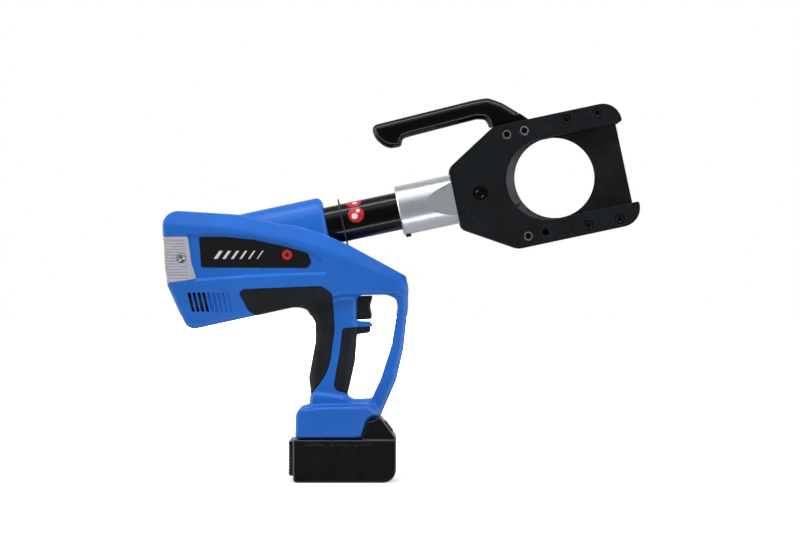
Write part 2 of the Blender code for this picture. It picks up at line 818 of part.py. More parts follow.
# ------------------------------------------------------------------------------- motor, gears, pump


def gear_points(teeth, tip, root, tip_half, root_half, phase=0.0):
    """A gear's outline about (0, 0), with straight-sided teeth, the first at angle phase in degrees."""
    points = []
    for k in range(teeth):
        middle = math.radians(phase) + 2.0 * math.pi * k / teeth
        for radius, half in ((root, -root_half), (tip, -tip_half), (tip, tip_half), (root, root_half)):
            angle = middle + half / radius
            points.append((radius * math.cos(angle), radius * math.sin(angle)))
    return points


def gear_slab(name, loops, low, high, material, axis, centre=(0.0, 0.0)):
    """A gear across the motor axis: the loops' first coordinate runs along w, their second along y."""
    moved = [[(b + centre[1], a + centre[0]) for a, b in loop] for loop in loops]
    obj = slab(name, moved, low, high, material, axis)
    obj.rotation_euler = (math.pi / 2.0, 0.0, math.pi / 2.0)
    obj.location = ((low + high) / 2.0 * MM, 0.0, MOTOR_W * MM)
    return obj


def motor(axis):
    bore = 15.5
    shaft = 3.0
    hole = 4.2
    can = [
        (MOTOR_FRONT, hole),
        (MOTOR_FRONT, MOTOR_RADIUS - 1.0),
        (MOTOR_FRONT - 1.0, MOTOR_RADIUS),
        (MOTOR_REAR + 1.0, MOTOR_RADIUS),
        (MOTOR_REAR, MOTOR_RADIUS - 1.0),
        (MOTOR_REAR, hole),
        (MOTOR_REAR + 4.0, hole),
        (MOTOR_REAR + 4.0, bore),
        (MOTOR_FRONT - 4.0, bore),
        (MOTOR_FRONT - 4.0, hole),
    ]
    turned("motor_can", can, "motor_steel", axis, MOTOR_W, closed=True)
    rotor = [
        (GEAR_FRONT + 0.5, 0.0),
        (GEAR_FRONT + 0.5, shaft),
        (MOTOR_FRONT - 9.0, shaft),
        (MOTOR_FRONT - 9.0, bore - 1.0),
        (MOTOR_REAR + 9.0, bore - 1.0),
        (MOTOR_REAR + 9.0, shaft),
        (MOTOR_REAR - 1.0, shaft),
        (MOTOR_REAR - 1.0, 0.0),
    ]
    core = turned("motor_rotor", rotor, "motor_steel", axis, MOTOR_W)
    pitch = GEAR_MODULE * SUN_TEETH / 2.0
    teeth = gear_points(SUN_TEETH, pitch + 0.65, pitch - 1.0, 0.2, 0.68)
    join(core, gear_slab("sun_teeth", [teeth], GEAR_REAR, GEAR_FRONT, None, axis))


def gearbox(axis):
    pitch = GEAR_MODULE * RING_TEETH / 2.0
    inner = gear_points(RING_TEETH, pitch - 0.6, pitch + 0.95, 0.2, 0.7, 180.0 / RING_TEETH)
    outer = circle((0.0, 0.0), MOTOR_RADIUS, 36)
    gear_slab("ring_gear", [outer, inner], MOTOR_FRONT + GAP, GEARBOX_FRONT, "motor_steel", axis)
    pitch = GEAR_MODULE * PLANET_TEETH / 2.0
    reach = GEAR_MODULE * (SUN_TEETH + PLANET_TEETH) / 2.0
    pin = 1.8
    for k in range(3):
        turn = 120.0 * k
        centre = (reach * math.cos(math.radians(turn)), reach * math.sin(math.radians(turn)))
        teeth = gear_points(PLANET_TEETH, pitch + 0.65, pitch - 1.0, 0.2, 0.68, turn)
        hole = circle((0.0, 0.0), pin + GAP, 12)
        name = f"planet_gear_{k + 1}"
        gear_slab(name, [teeth, hole], GEAR_REAR, GEAR_FRONT, "bright_steel", axis, centre)
    plate = GEAR_FRONT + 0.8
    profile = [
        (PLUNGER_U + 9.0, 0.0),
        (PLUNGER_U + 9.0, 3.0),
        (PLUNGER_U + 6.0, 3.0),
        (PLUNGER_U + 6.0, 4.0),
        (plate + 4.0, 4.0),
        (plate + 4.0, 15.0),
        (plate, 15.0),
        (plate, 0.0),
    ]
    carrier = turned("planet_carrier", profile, "bright_steel", axis, MOTOR_W)
    lobe_w = MOTOR_W - ECCENTRIC_THROW
    rear = PLUNGER_U - 5.0
    front = PLUNGER_U + 5.0
    join(carrier, cylinder("eccentric", "X", (0.0, lobe_w), rear, front, ECCENTRIC_RADIUS, None, axis))
    for k in range(3):
        angle = math.radians(120.0 * k)
        centre = (reach * math.sin(angle), MOTOR_W + reach * math.cos(angle))
        tool = cylinder(f"planet_pin_{k + 1}", "X", centre, GEAR_REAR, plate + 2.0, pin, None, axis, 12)
        join(carrier, tool)


def pump(axis):
    top = 17.0
    bottom = -66.0
    outline = rounded(
        [(BLOCK_REAR, bottom, 3.0), (BLOCK_REAR, top, 3.0)]
        + [(BLOCK_FRONT, top, 3.0), (BLOCK_FRONT, bottom, 3.0)]
    )
    block = slab("pump_block", [outline], -20.0, 20.0, "cast_aluminium", axis)
    place = (PLUNGER_U, 0.0)
    bore = PLUNGER_RADIUS + GAP
    cut(
        block,
        box("eccentric_chamber", (BLOCK_REAR - 5.0, -12.0, -62.0), (-306.0, 12.0, CHAMBER_ROOF), None, axis),
        cylinder("plunger_bore", "Z", place, CHAMBER_ROOF - 2.0, 4.0, bore, None, axis, 20),
        cylinder("oil_passage", "X", (0.0, 1.0), PLUNGER_U, BLOCK_FRONT + 5.0, 1.5, None, axis, 12),
        solver="MANIFOLD",
    )
    foot = 5.5
    top = -6.0
    profile = [
        (top, 0.0),
        (top, PLUNGER_RADIUS),
        (PLUNGER_FOOT + 2.0, PLUNGER_RADIUS),
        (PLUNGER_FOOT + 2.0, foot),
        (PLUNGER_FOOT, foot),
        (PLUNGER_FOOT, 0.0),
    ]
    turned("pump_plunger", profile, "bright_steel", axis, PLUNGER_U, axis="Z", steps=20)
    wire = 0.5
    low = PLUNGER_FOOT + 2.0 + GAP + wire
    high = CHAMBER_ROOF - GAP - wire
    coil("plunger_spring", "Z", place, low, high, 4.5, wire, 4, "bright_steel", axis)


def oil_bladder(axis):
    skin = 2.0
    rear = -404.0
    front = BLOCK_REAR - 1.0
    neck = 9.0
    big = 21.0
    profile = [
        (rear + skin, 0.0),
        (rear + skin, big - 11.0),
        (rear + 4.5, big - 4.5),
        (rear + 10.0, big - skin),
        (front - 18.0, big - skin),
        (front - 11.0, big - 5.5),
        (front - 6.0, neck - skin),
        (front, neck - skin),
        (front, neck),
        (front - 6.0, neck),
        (front - 12.0, big - 4.0),
        (front - 18.0, big),
        (rear + 10.0, big),
        (rear + 3.0, big - 3.0),
        (rear, big - 10.0),
        (rear, 0.0),
    ]
    turned("oil_bladder", profile, "seal_rubber", axis, steps=24)


# ------------------------------------------------------------------------------------------ housing


def outer_form(axis):
    """The housing's outside, as one solid."""
    sleeve_profile = [
        (SLEEVE_FRONT, 0.0),
        (SLEEVE_FRONT, SLEEVE_RADIUS - 5.0),
        (SLEEVE_FRONT - 3.3, SLEEVE_RADIUS),
        (SLEEVE_REAR, SLEEVE_RADIUS),
        (SLEEVE_REAR - 40.0, 12.0),
        (SLEEVE_REAR - 40.0, 0.0),
    ]
    body = slab("body_form", [rounded(BODY)], -BODY_HALF, BODY_HALF, bevel=6.5)
    forms = (
        ("bridge_form", BRIDGE, BRIDGE_HALF, 5.0, 1),
        ("handle_form", HANDLE, HANDLE_HALF, 6.0, 2),
        ("guard_form", GUARD, GUARD_HALF, 3.0, 1),
        ("foot_form", FOOT, FOOT_HALF, 3.0, 1),
        ("foot_top_form", FOOT_TOP, FOOT_TOP_HALF, 2.0, 1),
        ("shelf_form", SHELF, SHELF_HALF, 1.5, 1),
    )
    for name, outline, half, bevel, segments in forms:
        form = slab(name, [rounded(outline)], -half, half, bevel=bevel, segments=segments)
        join(body, form, solver="MANIFOLD")
    join(body, turned("sleeve_form", sleeve_profile, None, axis, steps=28), solver="MANIFOLD")
    return settled("outer_form", body)


def hollow_form(axis):
    """The cutters for the space inside the housing, with a pillar left for each screw through it."""
    pillars = [circle(HOUSING_SCREWS[name], 5.0) for name in ("housing_screw_nose", "housing_screw_middle")]
    half = BODY_HALF - WALL
    body = slab("body_hollow", [rounded(inset(BODY, WALL)), *pillars], -half, half)
    half = HANDLE_HALF - WALL
    chute = slab("handle_hollow", [inset(HANDLE, WALL + GAP)], -half, half)
    middle = (0.0, 0.0)
    rear = SLEEVE_REAR + WALL
    front = SLEEVE_FRONT - WALL
    sleeve = cylinder("sleeve_hollow", "X", middle, rear, front, SLEEVE_RADIUS - WALL, None, axis, 28)
    join(body, chute, sleeve, solver="MANIFOLD")
    space = settled("hollow_form", body)
    cylinder_hole = CYLINDER_RADIUS + 0.8
    head_hole = RING_RADIUS + 1.2
    channel = [(-45.6, 40.0), (-45.6, 58.6), (40.0, 58.6), (40.0, 40.0)]
    half = TRIGGER_HALF + 0.7
    return [
        space,
        cylinder("cylinder_hole", "X", middle, -262.0, -230.0, cylinder_hole, None, axis, 28),
        cylinder("head_clearance", "X", middle, RING_U - 3.0, -120.0, head_hole, None, axis, 28),
        slab("battery_channel", [channel], -TONGUE_HALF - 0.6, TONGUE_HALF + 0.6),
        box("wire_duct", (-28.0, -10.0, 50.0), (-10.0, 10.0, 90.0)),
        box("trigger_window", (6.0, -half, 169.6), (22.0, half, 197.0)),
    ]


def cover_core(name, gap):
    """What lies under the housing's covers: the outside form, thinner by the covers and a gap."""
    depth = COVER + gap
    forms = []
    for part, outline, half in (("_body", BODY, BODY_HALF - depth), ("_handle", HANDLE, HANDLE_HALF - depth)):
        loop = rounded(inset(outline, depth))
        forms.append(slab(name + part, [loop], -half, half, bevel=4.5, segments=1))
    return settled(name, join(*forms, solver="MANIFOLD"))


def grown(corners, amount):
    return inset(corners, -amount)


def vent_loops():
    """Four slots that slant like the housing's rear edge."""
    loops = []
    pitch = 4.95
    half = 1.2
    top = 198.9
    bottom = 179.0
    for k in range(4):
        x = -163.0 + pitch * k
        foot = x + 5.4
        loops.append([(x - half, top), (x + half, top), (foot + half, bottom), (foot - half, bottom)])
    return loops


def housing(axis):
    outside = outer_form(axis)
    hollow = hollow_form(axis)
    core = cover_core("cover_core", 0.0)
    floor = cover_core("cover_floor", GAP)
    wide = 60.0
    pockets = []
    pieces = (
        ("back_grip", BACK_GRIP, "grip_rubber"),
        ("front_grip", FRONT_GRIP, "grip_rubber"),
        ("rear_cap", REAR_CAP, "cap_plastic"),
    )
    for name, outline, material in pieces:
        cover = settled(name, outside, material)
        combine(cover, slab(name + "_region", [rounded(outline)], -wide, wide), "INTERSECT", "MANIFOLD")
        cut(cover, core, solver="MANIFOLD")
        pocket = slab(name + "_pocket", [rounded(grown(outline, GAP))], -wide, wide)
        pockets.append(cut(pocket, floor, solver="MANIFOLD"))
    cut(bpy.data.objects["front_grip"], bpy.data.objects["trigger_window"], solver="MANIFOLD")
    label = slab("label_pockets", [rounded(grown(LABEL, GAP))], -wide, wide)
    half = LABEL_INNER - GAP
    cut(label, slab("label_floor", [rounded(grown(LABEL, 2.0))], -half, half), solver="MANIFOLD")
    vents = slab("vent_slots", vent_loops(), -wide, wide)
    screw_holes = slab("screw_holes", circles(HOUSING_SCREWS, 2.2, 12), -16.5, wide)
    cap_holes = slab("cap_screw_holes", [circle(CAP_SCREW, 1.9, 12)], -wide, wide)
    for side, low, high in (("right", -wide, -GAP / 2.0), ("left", GAP / 2.0, wide)):
        shell = settled("housing_" + side, outside, "body_plastic")
        space = box("half_space_" + side, (-300.0, low, 0.0), (200.0, high, 400.0))
        combine(shell, space, "INTERSECT", "MANIFOLD")
        cut(shell, *hollow, *pockets, label, vents, cap_holes, screw_holes, solver="MANIFOLD")
    cut(bpy.data.objects["rear_cap"], cap_holes, solver="MANIFOLD")
    for name, place in HOUSING_SCREWS.items():
        seat = SCREW_SEATS[name]
        bore = cylinder(name + "_bore", "Y", place, seat, wide, 4.3, None, None, 16)
        cut(bpy.data.objects["housing_left"], bore, solver="MANIFOLD")
        housing_screw(name, place, seat + GAP)
    cap_screws()
    labels()


def housing_screw(name, place, seat):
    """A pan-head screw from the left side: its head rests at y = seat, and its shank points to the right."""
    head = cylinder(name, "Y", place, seat, seat + 3.0, 3.9, "motor_steel", None, 16)
    shank = cylinder(name + "_shank", "Y", place, -15.5, seat + 1.0, 1.8, None, None, 12)
    socket = cylinder(name + "_socket", "Y", place, seat + 1.2, seat + 5.0, 2.0, None, None, 6)
    cut(join(head, shank), socket)


def cap_screws():
    for side, sign in (("right", -1.0), ("left", 1.0)):
        name = "rear_cap_screw_" + side
        ends = sorted((sign * (BODY_HALF + 0.3), sign * (BODY_HALF + 1.7)))
        head = cylinder(name, "Y", CAP_SCREW, *ends, 3.9, "bright_steel", None, 20)
        ends = sorted((sign * (BODY_HALF - 7.0), sign * (BODY_HALF + 1.0)))
        shank = cylinder(name + "_shank", "Y", CAP_SCREW, *ends, 1.5, None, None, 12)
        ends = sorted((sign * (BODY_HALF + 0.8), sign * (BODY_HALF + 4.0)))
        slot = slab(name + "_slot", [slot_loop(CAP_SCREW)], *ends)
        cut(join(head, shank), slot)


def slot_loop(place):
    x, z = place
    return [(x - 5.0, z - 0.4), (x - 5.0, z + 0.4), (x + 5.0, z + 0.4), (x + 5.0, z - 0.4)]


def labels():
    slab("label_plate_right", [rounded(LABEL)], -LABEL_OUTER, -LABEL_INNER, "label_film")
    slab("label_plate_left", [rounded(LABEL)], LABEL_INNER, LABEL_OUTER, "label_film")


def trigger():
    slab("trigger", [rounded(TRIGGER)], -TRIGGER_HALF, TRIGGER_HALF, "black_plastic")
    box("trigger_switch", (-22.0, -8.0, 174.0), (-9.6, 8.0, 193.0), "black_plastic")


# ------------------------------------------------------------------------------------------ battery


def battery():
    split = 33.0
    skin = 2.6
    top = 45.2
    shell = [(-57.0, 0.0, 5.0), (-57.0, top, 3.5), (56.0, top, 3.5), (56.0, 0.0, 13.0)]
    outside = slab("battery_form", [rounded(shell)], -BATTERY_HALF, BATTERY_HALF, bevel=2.5)
    riser_half = BATTERY_HALF - 4.0
    riser = slab("battery_riser_form", [rounded(BATTERY_RISER)], -riser_half, riser_half, bevel=1.5)
    rail = [(-44.0, 40.0), (-44.0, 58.0), (16.5, 58.0), (16.5, 40.0)]
    tongue = slab("battery_tongue_form", [rail], -TONGUE_HALF, TONGUE_HALF, bevel=1.0, segments=1)
    join(outside, riser, tongue)
    whole = settled("battery_whole", outside)
    end = skin + 2.0
    room = box("battery_room", (-57.0 + end, -34.5, skin), (56.0 - end, 34.5, top - skin))
    slot_half = TERMINAL_HALF + 0.5
    slots = [
        box(f"terminal_slot_{k + 1}", (-50.0, y - slot_half, 49.0), (-26.0, y + slot_half, 62.0))
        for k, y in enumerate(TERMINALS)
    ]
    lower = box("battery_lower_space", (-80.0, -60.0, -20.0), (80.0, 60.0, split - GAP / 2.0))
    upper = box("battery_upper_space", (-80.0, -60.0, split + GAP / 2.0), (80.0, 60.0, 90.0))
    case = settled("battery_case", whole, "black_plastic")
    combine(case, lower, "INTERSECT")
    cut(case, room)
    lid = settled("battery_lid", whole, "black_plastic")
    combine(lid, upper, "INTERSECT")
    half = LATCH_HALF + 0.4
    cut(lid, room, *slots, slab("latch_pocket", [latch_loop(5.6, 20.4, -7.9, 6.0)], -half, half))
    loop = latch_loop(6.0, 20.0, -4.0, 1.6)
    slab("battery_latch", [loop], -LATCH_HALF, LATCH_HALF, "black_plastic", bevel=0.6)
    cells()
    terminals()


def latch_loop(low, high, deep, proud):
    """A rectangle on the battery's sloping front; low and high run up the slope, the others square to it."""
    along = Vector(LATCH_SLOPE).normalized()
    out = Vector((along.y, -along.x))
    foot = Vector(LATCH_FOOT)
    corners = ((low, deep), (low, proud), (high, proud), (high, deep))
    return [tuple(foot + along * s + out * n) for s, n in corners]


def cells():
    """Ten cells in two rows, wrapped together, as one scalloped block."""
    radius = 9.2
    pitch = 18.2
    first = -2.0 * pitch
    points = []
    for row, sign in ((12.6, -1.0), (12.6 + pitch, 1.0)):
        lobes = range(5) if sign > 0 else range(4, -1, -1)
        for k in lobes:
            centre = first + pitch * k
            angles = range(155, 24, -26) if sign > 0 else range(-25, -156, -26)
            for angle in angles:
                a = math.radians(angle)
                points.append((centre + radius * math.cos(a), row + radius * math.sin(a)))
    slab("battery_cells", [points], -32.5, 32.5, "cell_wrap")


def terminals():
    block = box("battery_terminals", (-45.2, -14.0, 47.2), (-44.4, 14.0, 58.0), "brass")
    for k, y in enumerate(TERMINALS):
        low = (-44.8, y - TERMINAL_HALF, 50.0)
        join(block, box(f"terminal_blade_{k + 1}", low, (-30.0, y + TERMINAL_HALF, 57.5)))


def shade_pieces():
    for obj in PIECES.objects:
        if obj.type == "MESH" and len(obj.data.polygons) > 12:
            shade(obj)


clear_scene()
PIECES = new_collection("cable_cutter")
CUTTERS = new_collection("cutters")
TOOL_AXIS = add_empty("tool_axis", (OPENING_X, 0.0, OPENING_Z), -TILT)
cheek_plates(TOOL_AXIS)
head_fasteners(TOOL_AXIS)
fixed_blade(TOOL_AXIS)
moving_blade(TOOL_AXIS)
blade_rails(TOOL_AXIS)
lower_spacer(TOOL_AXIS)
carry_handle(TOOL_AXIS)
head_collar(TOOL_AXIS)
hydraulic_cylinder(TOOL_AXIS)
ram(TOOL_AXIS)
motor(TOOL_AXIS)
gearbox(TOOL_AXIS)
pump(TOOL_AXIS)
oil_bladder(TOOL_AXIS)
housing(TOOL_AXIS)
trigger()
battery()
shade_pieces()
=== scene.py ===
"""The looks of a battery hydraulic cable cutter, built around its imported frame.

Sizes are in millimetres, and the mesh helpers turn them into metres. Moulded pieces are distance
fields meshed on a grid; machined pieces are flat outlines and turned profiles. Pieces of the cutting
head are drawn in the tool's own axes: u runs along the hydraulic axis, w square to it, and y is the
world's. Those axes start at the middle of the round opening.
"""

import functools
import json
import math

import bmesh
import bpy
import numpy as np
from mathutils import Matrix, Vector


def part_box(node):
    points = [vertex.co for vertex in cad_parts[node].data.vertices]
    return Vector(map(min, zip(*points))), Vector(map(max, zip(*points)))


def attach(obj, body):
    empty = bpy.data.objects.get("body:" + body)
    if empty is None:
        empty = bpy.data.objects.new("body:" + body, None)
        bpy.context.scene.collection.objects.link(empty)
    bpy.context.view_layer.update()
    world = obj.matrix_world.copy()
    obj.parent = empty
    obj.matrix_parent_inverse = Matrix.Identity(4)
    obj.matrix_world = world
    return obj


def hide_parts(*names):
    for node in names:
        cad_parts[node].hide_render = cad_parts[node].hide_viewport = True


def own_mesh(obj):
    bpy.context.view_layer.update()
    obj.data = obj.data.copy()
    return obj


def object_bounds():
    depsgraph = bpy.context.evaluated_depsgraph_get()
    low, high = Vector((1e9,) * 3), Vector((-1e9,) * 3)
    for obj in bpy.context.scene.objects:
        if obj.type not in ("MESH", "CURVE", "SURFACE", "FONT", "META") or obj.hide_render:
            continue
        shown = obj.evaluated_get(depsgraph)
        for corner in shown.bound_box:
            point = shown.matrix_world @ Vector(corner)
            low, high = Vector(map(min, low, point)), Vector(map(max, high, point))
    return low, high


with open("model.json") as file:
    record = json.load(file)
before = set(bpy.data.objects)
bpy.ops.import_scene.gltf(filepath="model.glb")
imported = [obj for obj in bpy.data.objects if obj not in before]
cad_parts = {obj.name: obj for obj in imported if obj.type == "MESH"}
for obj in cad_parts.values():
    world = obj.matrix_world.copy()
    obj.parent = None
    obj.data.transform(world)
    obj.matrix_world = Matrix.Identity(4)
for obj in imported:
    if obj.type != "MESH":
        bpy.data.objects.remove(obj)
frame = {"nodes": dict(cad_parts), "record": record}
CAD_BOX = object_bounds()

MM = 0.001
WORLD = Matrix.Scale(MM, 4)
RECORD = frame["record"]
JOINTS = {joint["name"]: joint for joint in RECORD["behaviour"]["joints"]}
GRID = 1.0
FINE = 0.6
TURN = 128
FULL = 2.0 * math.pi
QUARTER = math.pi / 2.0
WELD = 1e-3

# Outlines seen from the right: corners (x, z) or, where a corner is rounded, (x, z, radius).
BODY = [
    (-190.3, 286.4, 16.0), (-111.0, 281.5), (-67.3, 270.8), (-49.8, 269.6), (-15.5, 259.1),
    (6.3, 249.5), (58.3, 221.3), (67.0, 216.3), (68.3, 197.4, 3.0), (0.0, 196.4), (-48.6, 184.3),
    (-92.0, 174.8), (-163.4, 159.4, 12.0), (-184.5, 207.5), (-187.6, 226.0),
]
RIDGE = [
    (-185.0, 286.0), (-111.0, 281.5), (-67.3, 270.8), (-49.8, 269.6), (-15.5, 259.1), (6.3, 249.5),
    (58.3, 221.3), (67.4, 206.0), (68.5, 184.1), (63.6, 140.0), (56.0, 107.1), (39.4, 69.0),
]
HANDLE = [
    (15.1, 206.0), (15.1, 158.0), (12.4, 125.0), (3.0, 84.0), (-2.0, 70.0), (-34.0, 70.0),
    (-34.2, 92.0), (-36.6, 109.0), (-29.4, 149.0), (-30.0, 168.0), (-38.5, 180.9), (-56.0, 190.0),
]
SHELF = [(8.0, 169.3), (27.5, 168.9, 2.0), (31.6, 165.5, 2.0), (28.4, 156.6, 4.0), (8.0, 153.8)]
GUARD = [
    (45.0, 216.0), (63.0, 216.0), (68.2, 206.0, 8.0), (68.5, 184.1), (63.6, 140.0), (56.0, 107.1),
    (39.4, 69.0), (30.8, 69.0), (22.0, 85.6), (29.8, 85.7, 3.0), (40.0, 107.4), (51.6, 144.0),
    (57.9, 184.0), (56.2, 192.6, 3.5), (45.0, 199.0),
]
FOOT = [
    (-49.8, 46.6), (-49.1, 77.2, 8.0), (-20.0, 80.2), (29.0, 80.6, 8.0), (37.6, 71.4, 3.0),
    (26.6, 65.4, 2.0), (19.8, 46.6),
]
FOOT_TOP = [
    (-46.0, 66.0), (-43.5, 78.0), (-35.4, 80.2), (-33.6, 91.0), (-30.0, 94.0), (5.8, 89.0),
    (10.0, 86.1), (29.6, 85.9), (38.0, 69.8), (30.5, 65.8),
]
BACK_GRIP = [
    (-90.5, 160.0), (-92.6, 176.0), (-99.5, 180.4, 3.0), (-109.6, 199.5, 4.0), (-104.0, 203.3, 2.0),
    (-22.0, 206.4, 8.0), (-11.4, 199.0, 6.0), (-8.4, 162.0, 60.0), (-14.5, 116.0, 60.0),
    (-33.5, 91.2, 3.0), (-46.0, 91.0), (-46.0, 160.0),
]
FRONT_GRIP = [
    (40.0, 147.0), (20.0, 93.2), (4.9, 93.2, 2.0), (-6.3, 95.8, 4.0), (-9.6, 101.0, 3.0),
    (-3.3, 135.6), (-0.2, 161.5, 2.5), (28.0, 163.0), (36.0, 163.2),
]
REAR_CAP = [
    (-196.0, 258.0), (-162.6, 258.2, 2.5), (-158.7, 230.4), (-153.4, 213.6, 2.0), (-196.0, 207.8),
]
LEAF = [
    (-164.0, 260.8, 2.0), (-123.4, 261.1), (-93.1, 258.5), (-60.8, 251.6), (-34.8, 243.2),
    (-20.5, 232.5, 4.0), (-18.0, 220.6, 2.0), (-40.6, 220.3), (-98.1, 217.9), (-153.6, 213.6),
    (-158.7, 230.4),
]
LABEL = [
    (-150.6, 257.6, 1.5), (-123.4, 257.6), (-93.1, 254.6), (-60.8, 247.5), (-36.5, 240.6, 5.0),
    (-33.0, 231.0, 4.0), (-37.5, 225.4, 3.0), (-148.4, 226.0, 1.5),
]
TRIGGER = [
    (-3.0, 174.0), (-3.0, 192.0), (14.6, 195.6), (31.3, 196.2, 1.5), (28.4, 185.0, 9.0),
    (30.9, 171.2, 1.5), (14.6, 170.4),
]
CARRY_BAR = [
    (-179.0, 94.6, 6.0), (-178.0, 80.5, 20.0), (-167.5, 67.2, 18.0), (-152.6, 65.2, 5.0),
    (-149.0, 74.2, 3.0), (-140.0, 75.0, 8.0), (-68.0, 78.0, 6.0), (-58.6, 75.6, 5.0), (-56.0, 62.0),
    (-12.0, 62.0), (-14.0, 67.0, 2.0), (-38.0, 89.4, 16.0), (-52.0, 98.0, 16.0),
    (-70.0, 98.4, 12.0),
]
LUG = [(-53.0, 48.0), (-53.0, 74.0), (-22.0, 74.0), (-12.0, 63.0, 4.0), (-12.0, 48.0)]
BATTERY = [(-52.0, 0.0, 4.0), (-52.0, 45.2, 2.0), (56.0, 45.2, 2.5), (56.0, 0.0, 14.0)]
BATTERY_END = [(-57.0, 7.0, 3.0), (-57.0, 44.0, 2.0), (-40.0, 44.0), (-40.0, 7.0)]
RISER = [
    (19.6, 36.0), (19.6, 46.0), (26.2, 64.3, 1.0), (31.6, 64.8), (39.4, 68.4, 2.5),
    (55.7, 46.8, 2.0), (55.7, 36.0),
]
RAIL = [(-44.0, 40.0), (-44.0, 58.0), (16.5, 58.0), (16.5, 40.0)]

# Half widths across the tool, wall thicknesses and gaps.
BODY_HALF = 34.0
GUARD_HALF = 11.0
HANDLE_HALF = 18.0
FOOT_HALF = 37.0
FOOT_TOP_HALF = 22.0
SHELF_HALF = 13.0
BAR_HALF = 11.0
WALL = 6.0
COVER = 2.0
GAP = 0.3
LEAF_DEPTH = 3.0

# The shoulder under the ridge leans by these parts of height and width.
BAND_UP = 0.4
BAND_OUT = 0.917

# The oval sleeve of the body around the cylinder: its ends, its upright and its sideways radius.
SLEEVE_REAR = -336.0
SLEEVE_FRONT = -246.5
SLEEVE_RADIUS = 31.5
SLEEVE_HALF = 25.5
CYLINDER_RADIUS = 20.0

# Boxes that are left empty, as lowest and highest corners.
BATTERY_CHANNEL = ((-45.6, -25.6, 40.0), (40.0, 25.6, 58.6))
WIRE_DUCT = ((-28.0, -10.0, 50.0), (-10.0, 10.0, 90.0))
TRIGGER_WINDOW = ((6.0, -9.7, 169.6), (22.0, 9.7, 197.0))
CELL_ROOM = ((-47.4, -34.5, 2.6), (51.4, 34.5, 42.6))

# Middle of the trigger's finger hollow, height of the battery's seam, foot of its sloping front.
FINGER = (38.5, 184.5)
BATTERY_SPLIT = 33.0
SLOPE_FOOT = (55.9, 46.9)

# The cutting head, in the tool's axes, and radii of its holes.
HEAD_HALF = 66.0
HEAD_REAR = -53.0
FORK_HALF = 43.0
FORK_END = -9.0
OPENING = 42.5
BEVEL_RADIUS = 52.0
BEVEL_CREASE = 16.0
SPARE_HOLE = (-22.0, -54.5)
SCREW_HOLE = 3.3
CAP_HOLE = 1.9
SLACK = 0.35

BODY_SCREWS = tuple("housing_screw_" + name for name in ("nose", "middle", "bridge", "foot"))
SHALLOW = ("handle_screw_rear", "handle_screw_front", "spacer_screw")
ENDS = ("upper_rear", "upper_front", "lower_rear", "lower_front")
DEEP = tuple("blade_screw_" + end for end in ENDS)
DOWELS = ("rail_dowel_upper", "rail_dowel_lower")
PINS = ("collar_pin_upper", "collar_pin_lower")

# Name, place along the cylinder, degrees above the middle, radius, height over the paint, colour.
STICKERS = (
    ("middle", -214.0, 15.0, 8.4, 0.15, "red"),
    ("top", -214.0, 67.0, 8.4, 0.15, "red"),
    ("middle_dot", -215.8, 11.0, 3.2, 0.25, "white"),
    ("middle_spot", -211.2, 26.0, 2.0, 0.25, "white"),
    ("top_dot", -213.0, 62.0, 2.8, 0.25, "white"),
)

# What shiny faces see: degrees above the camera's direction, and the brightness there.
SOFTBOXES = (
    (-180, 0.35), (-92, 0.4), (-66, 0.45), (-58, 1.0), (-56.5, 9.0), (-54.5, 9.0), (-53, 1.0),
    (-46, 0.3), (-36, 0.16), (0, 0.12), (36, 0.16), (44, 0.5), (52, 1.1), (74, 1.2), (77, 2.0),
    (78.5, 14.0), (81.5, 14.0), (83, 2.0), (92, 1.2), (100, 0.4), (125, 0.3), (140, 0.6), (180, 0.7),
)
SOFTBOX_PEAK = 16.0

# Name, place from the middle of the tool in metres, watts, width and height.
LAMPS = (
    ("key", (-0.3, -1.3, 2.0), 28.0, (1.8, 0.9)),
    ("top", (0.2, -0.2, 1.9), 12.0, (1.8, 0.5)),
    ("front", (0.7, -2.4, 0.7), 4.0, (1.2, 0.9)),
    ("rim", (-0.9, 1.3, 1.2), 6.0, (1.2, 0.8)),
)
WHITE = (1.0, 1.0, 1.0)


# --- the tool's axes


def axis_of(joint):
    return Vector(JOINTS[joint]["axis"]).normalized()


def tool_matrix():
    """From the tool's axes, in millimetres, to the world, in metres."""
    along = axis_of("head_swivel")
    corners = RECORD["physics"]["openings"][0]["box_m"]
    centre = (Vector(corners[0]) + Vector(corners[1])) / 2.0
    across = Vector((0.0, 1.0, 0.0))
    turn = Matrix((along, across, along.cross(across))).transposed().to_4x4()
    return Matrix.Translation(centre) @ turn @ WORLD


TOOL = tool_matrix()
TOOL_TILT = math.atan2(TOOL[2][0], TOOL[0][0])


def extent(node, matrix=TOOL):
    """Lowest and highest corner of a CAD node in millimetres, in the tool's or matrix's axes."""
    points = np.array([v.co for v in frame["nodes"][node].data.vertices])
    local = np.array(matrix.inverted())
    points = points @ local[:3, :3].T + local[:3, 3]
    return points.min(axis=0), points.max(axis=0)


def middle(node, matrix=TOOL):
    return sum(extent(node, matrix)) / 2.0


def spot(node, matrix=TOOL):
    """A CAD node's middle, seen from the side."""
    return tuple(middle(node, matrix)[::2])


def radius_of(node):
    low, high = extent(node)
    return (high[0] - low[0]) / 2.0


# --- outlines


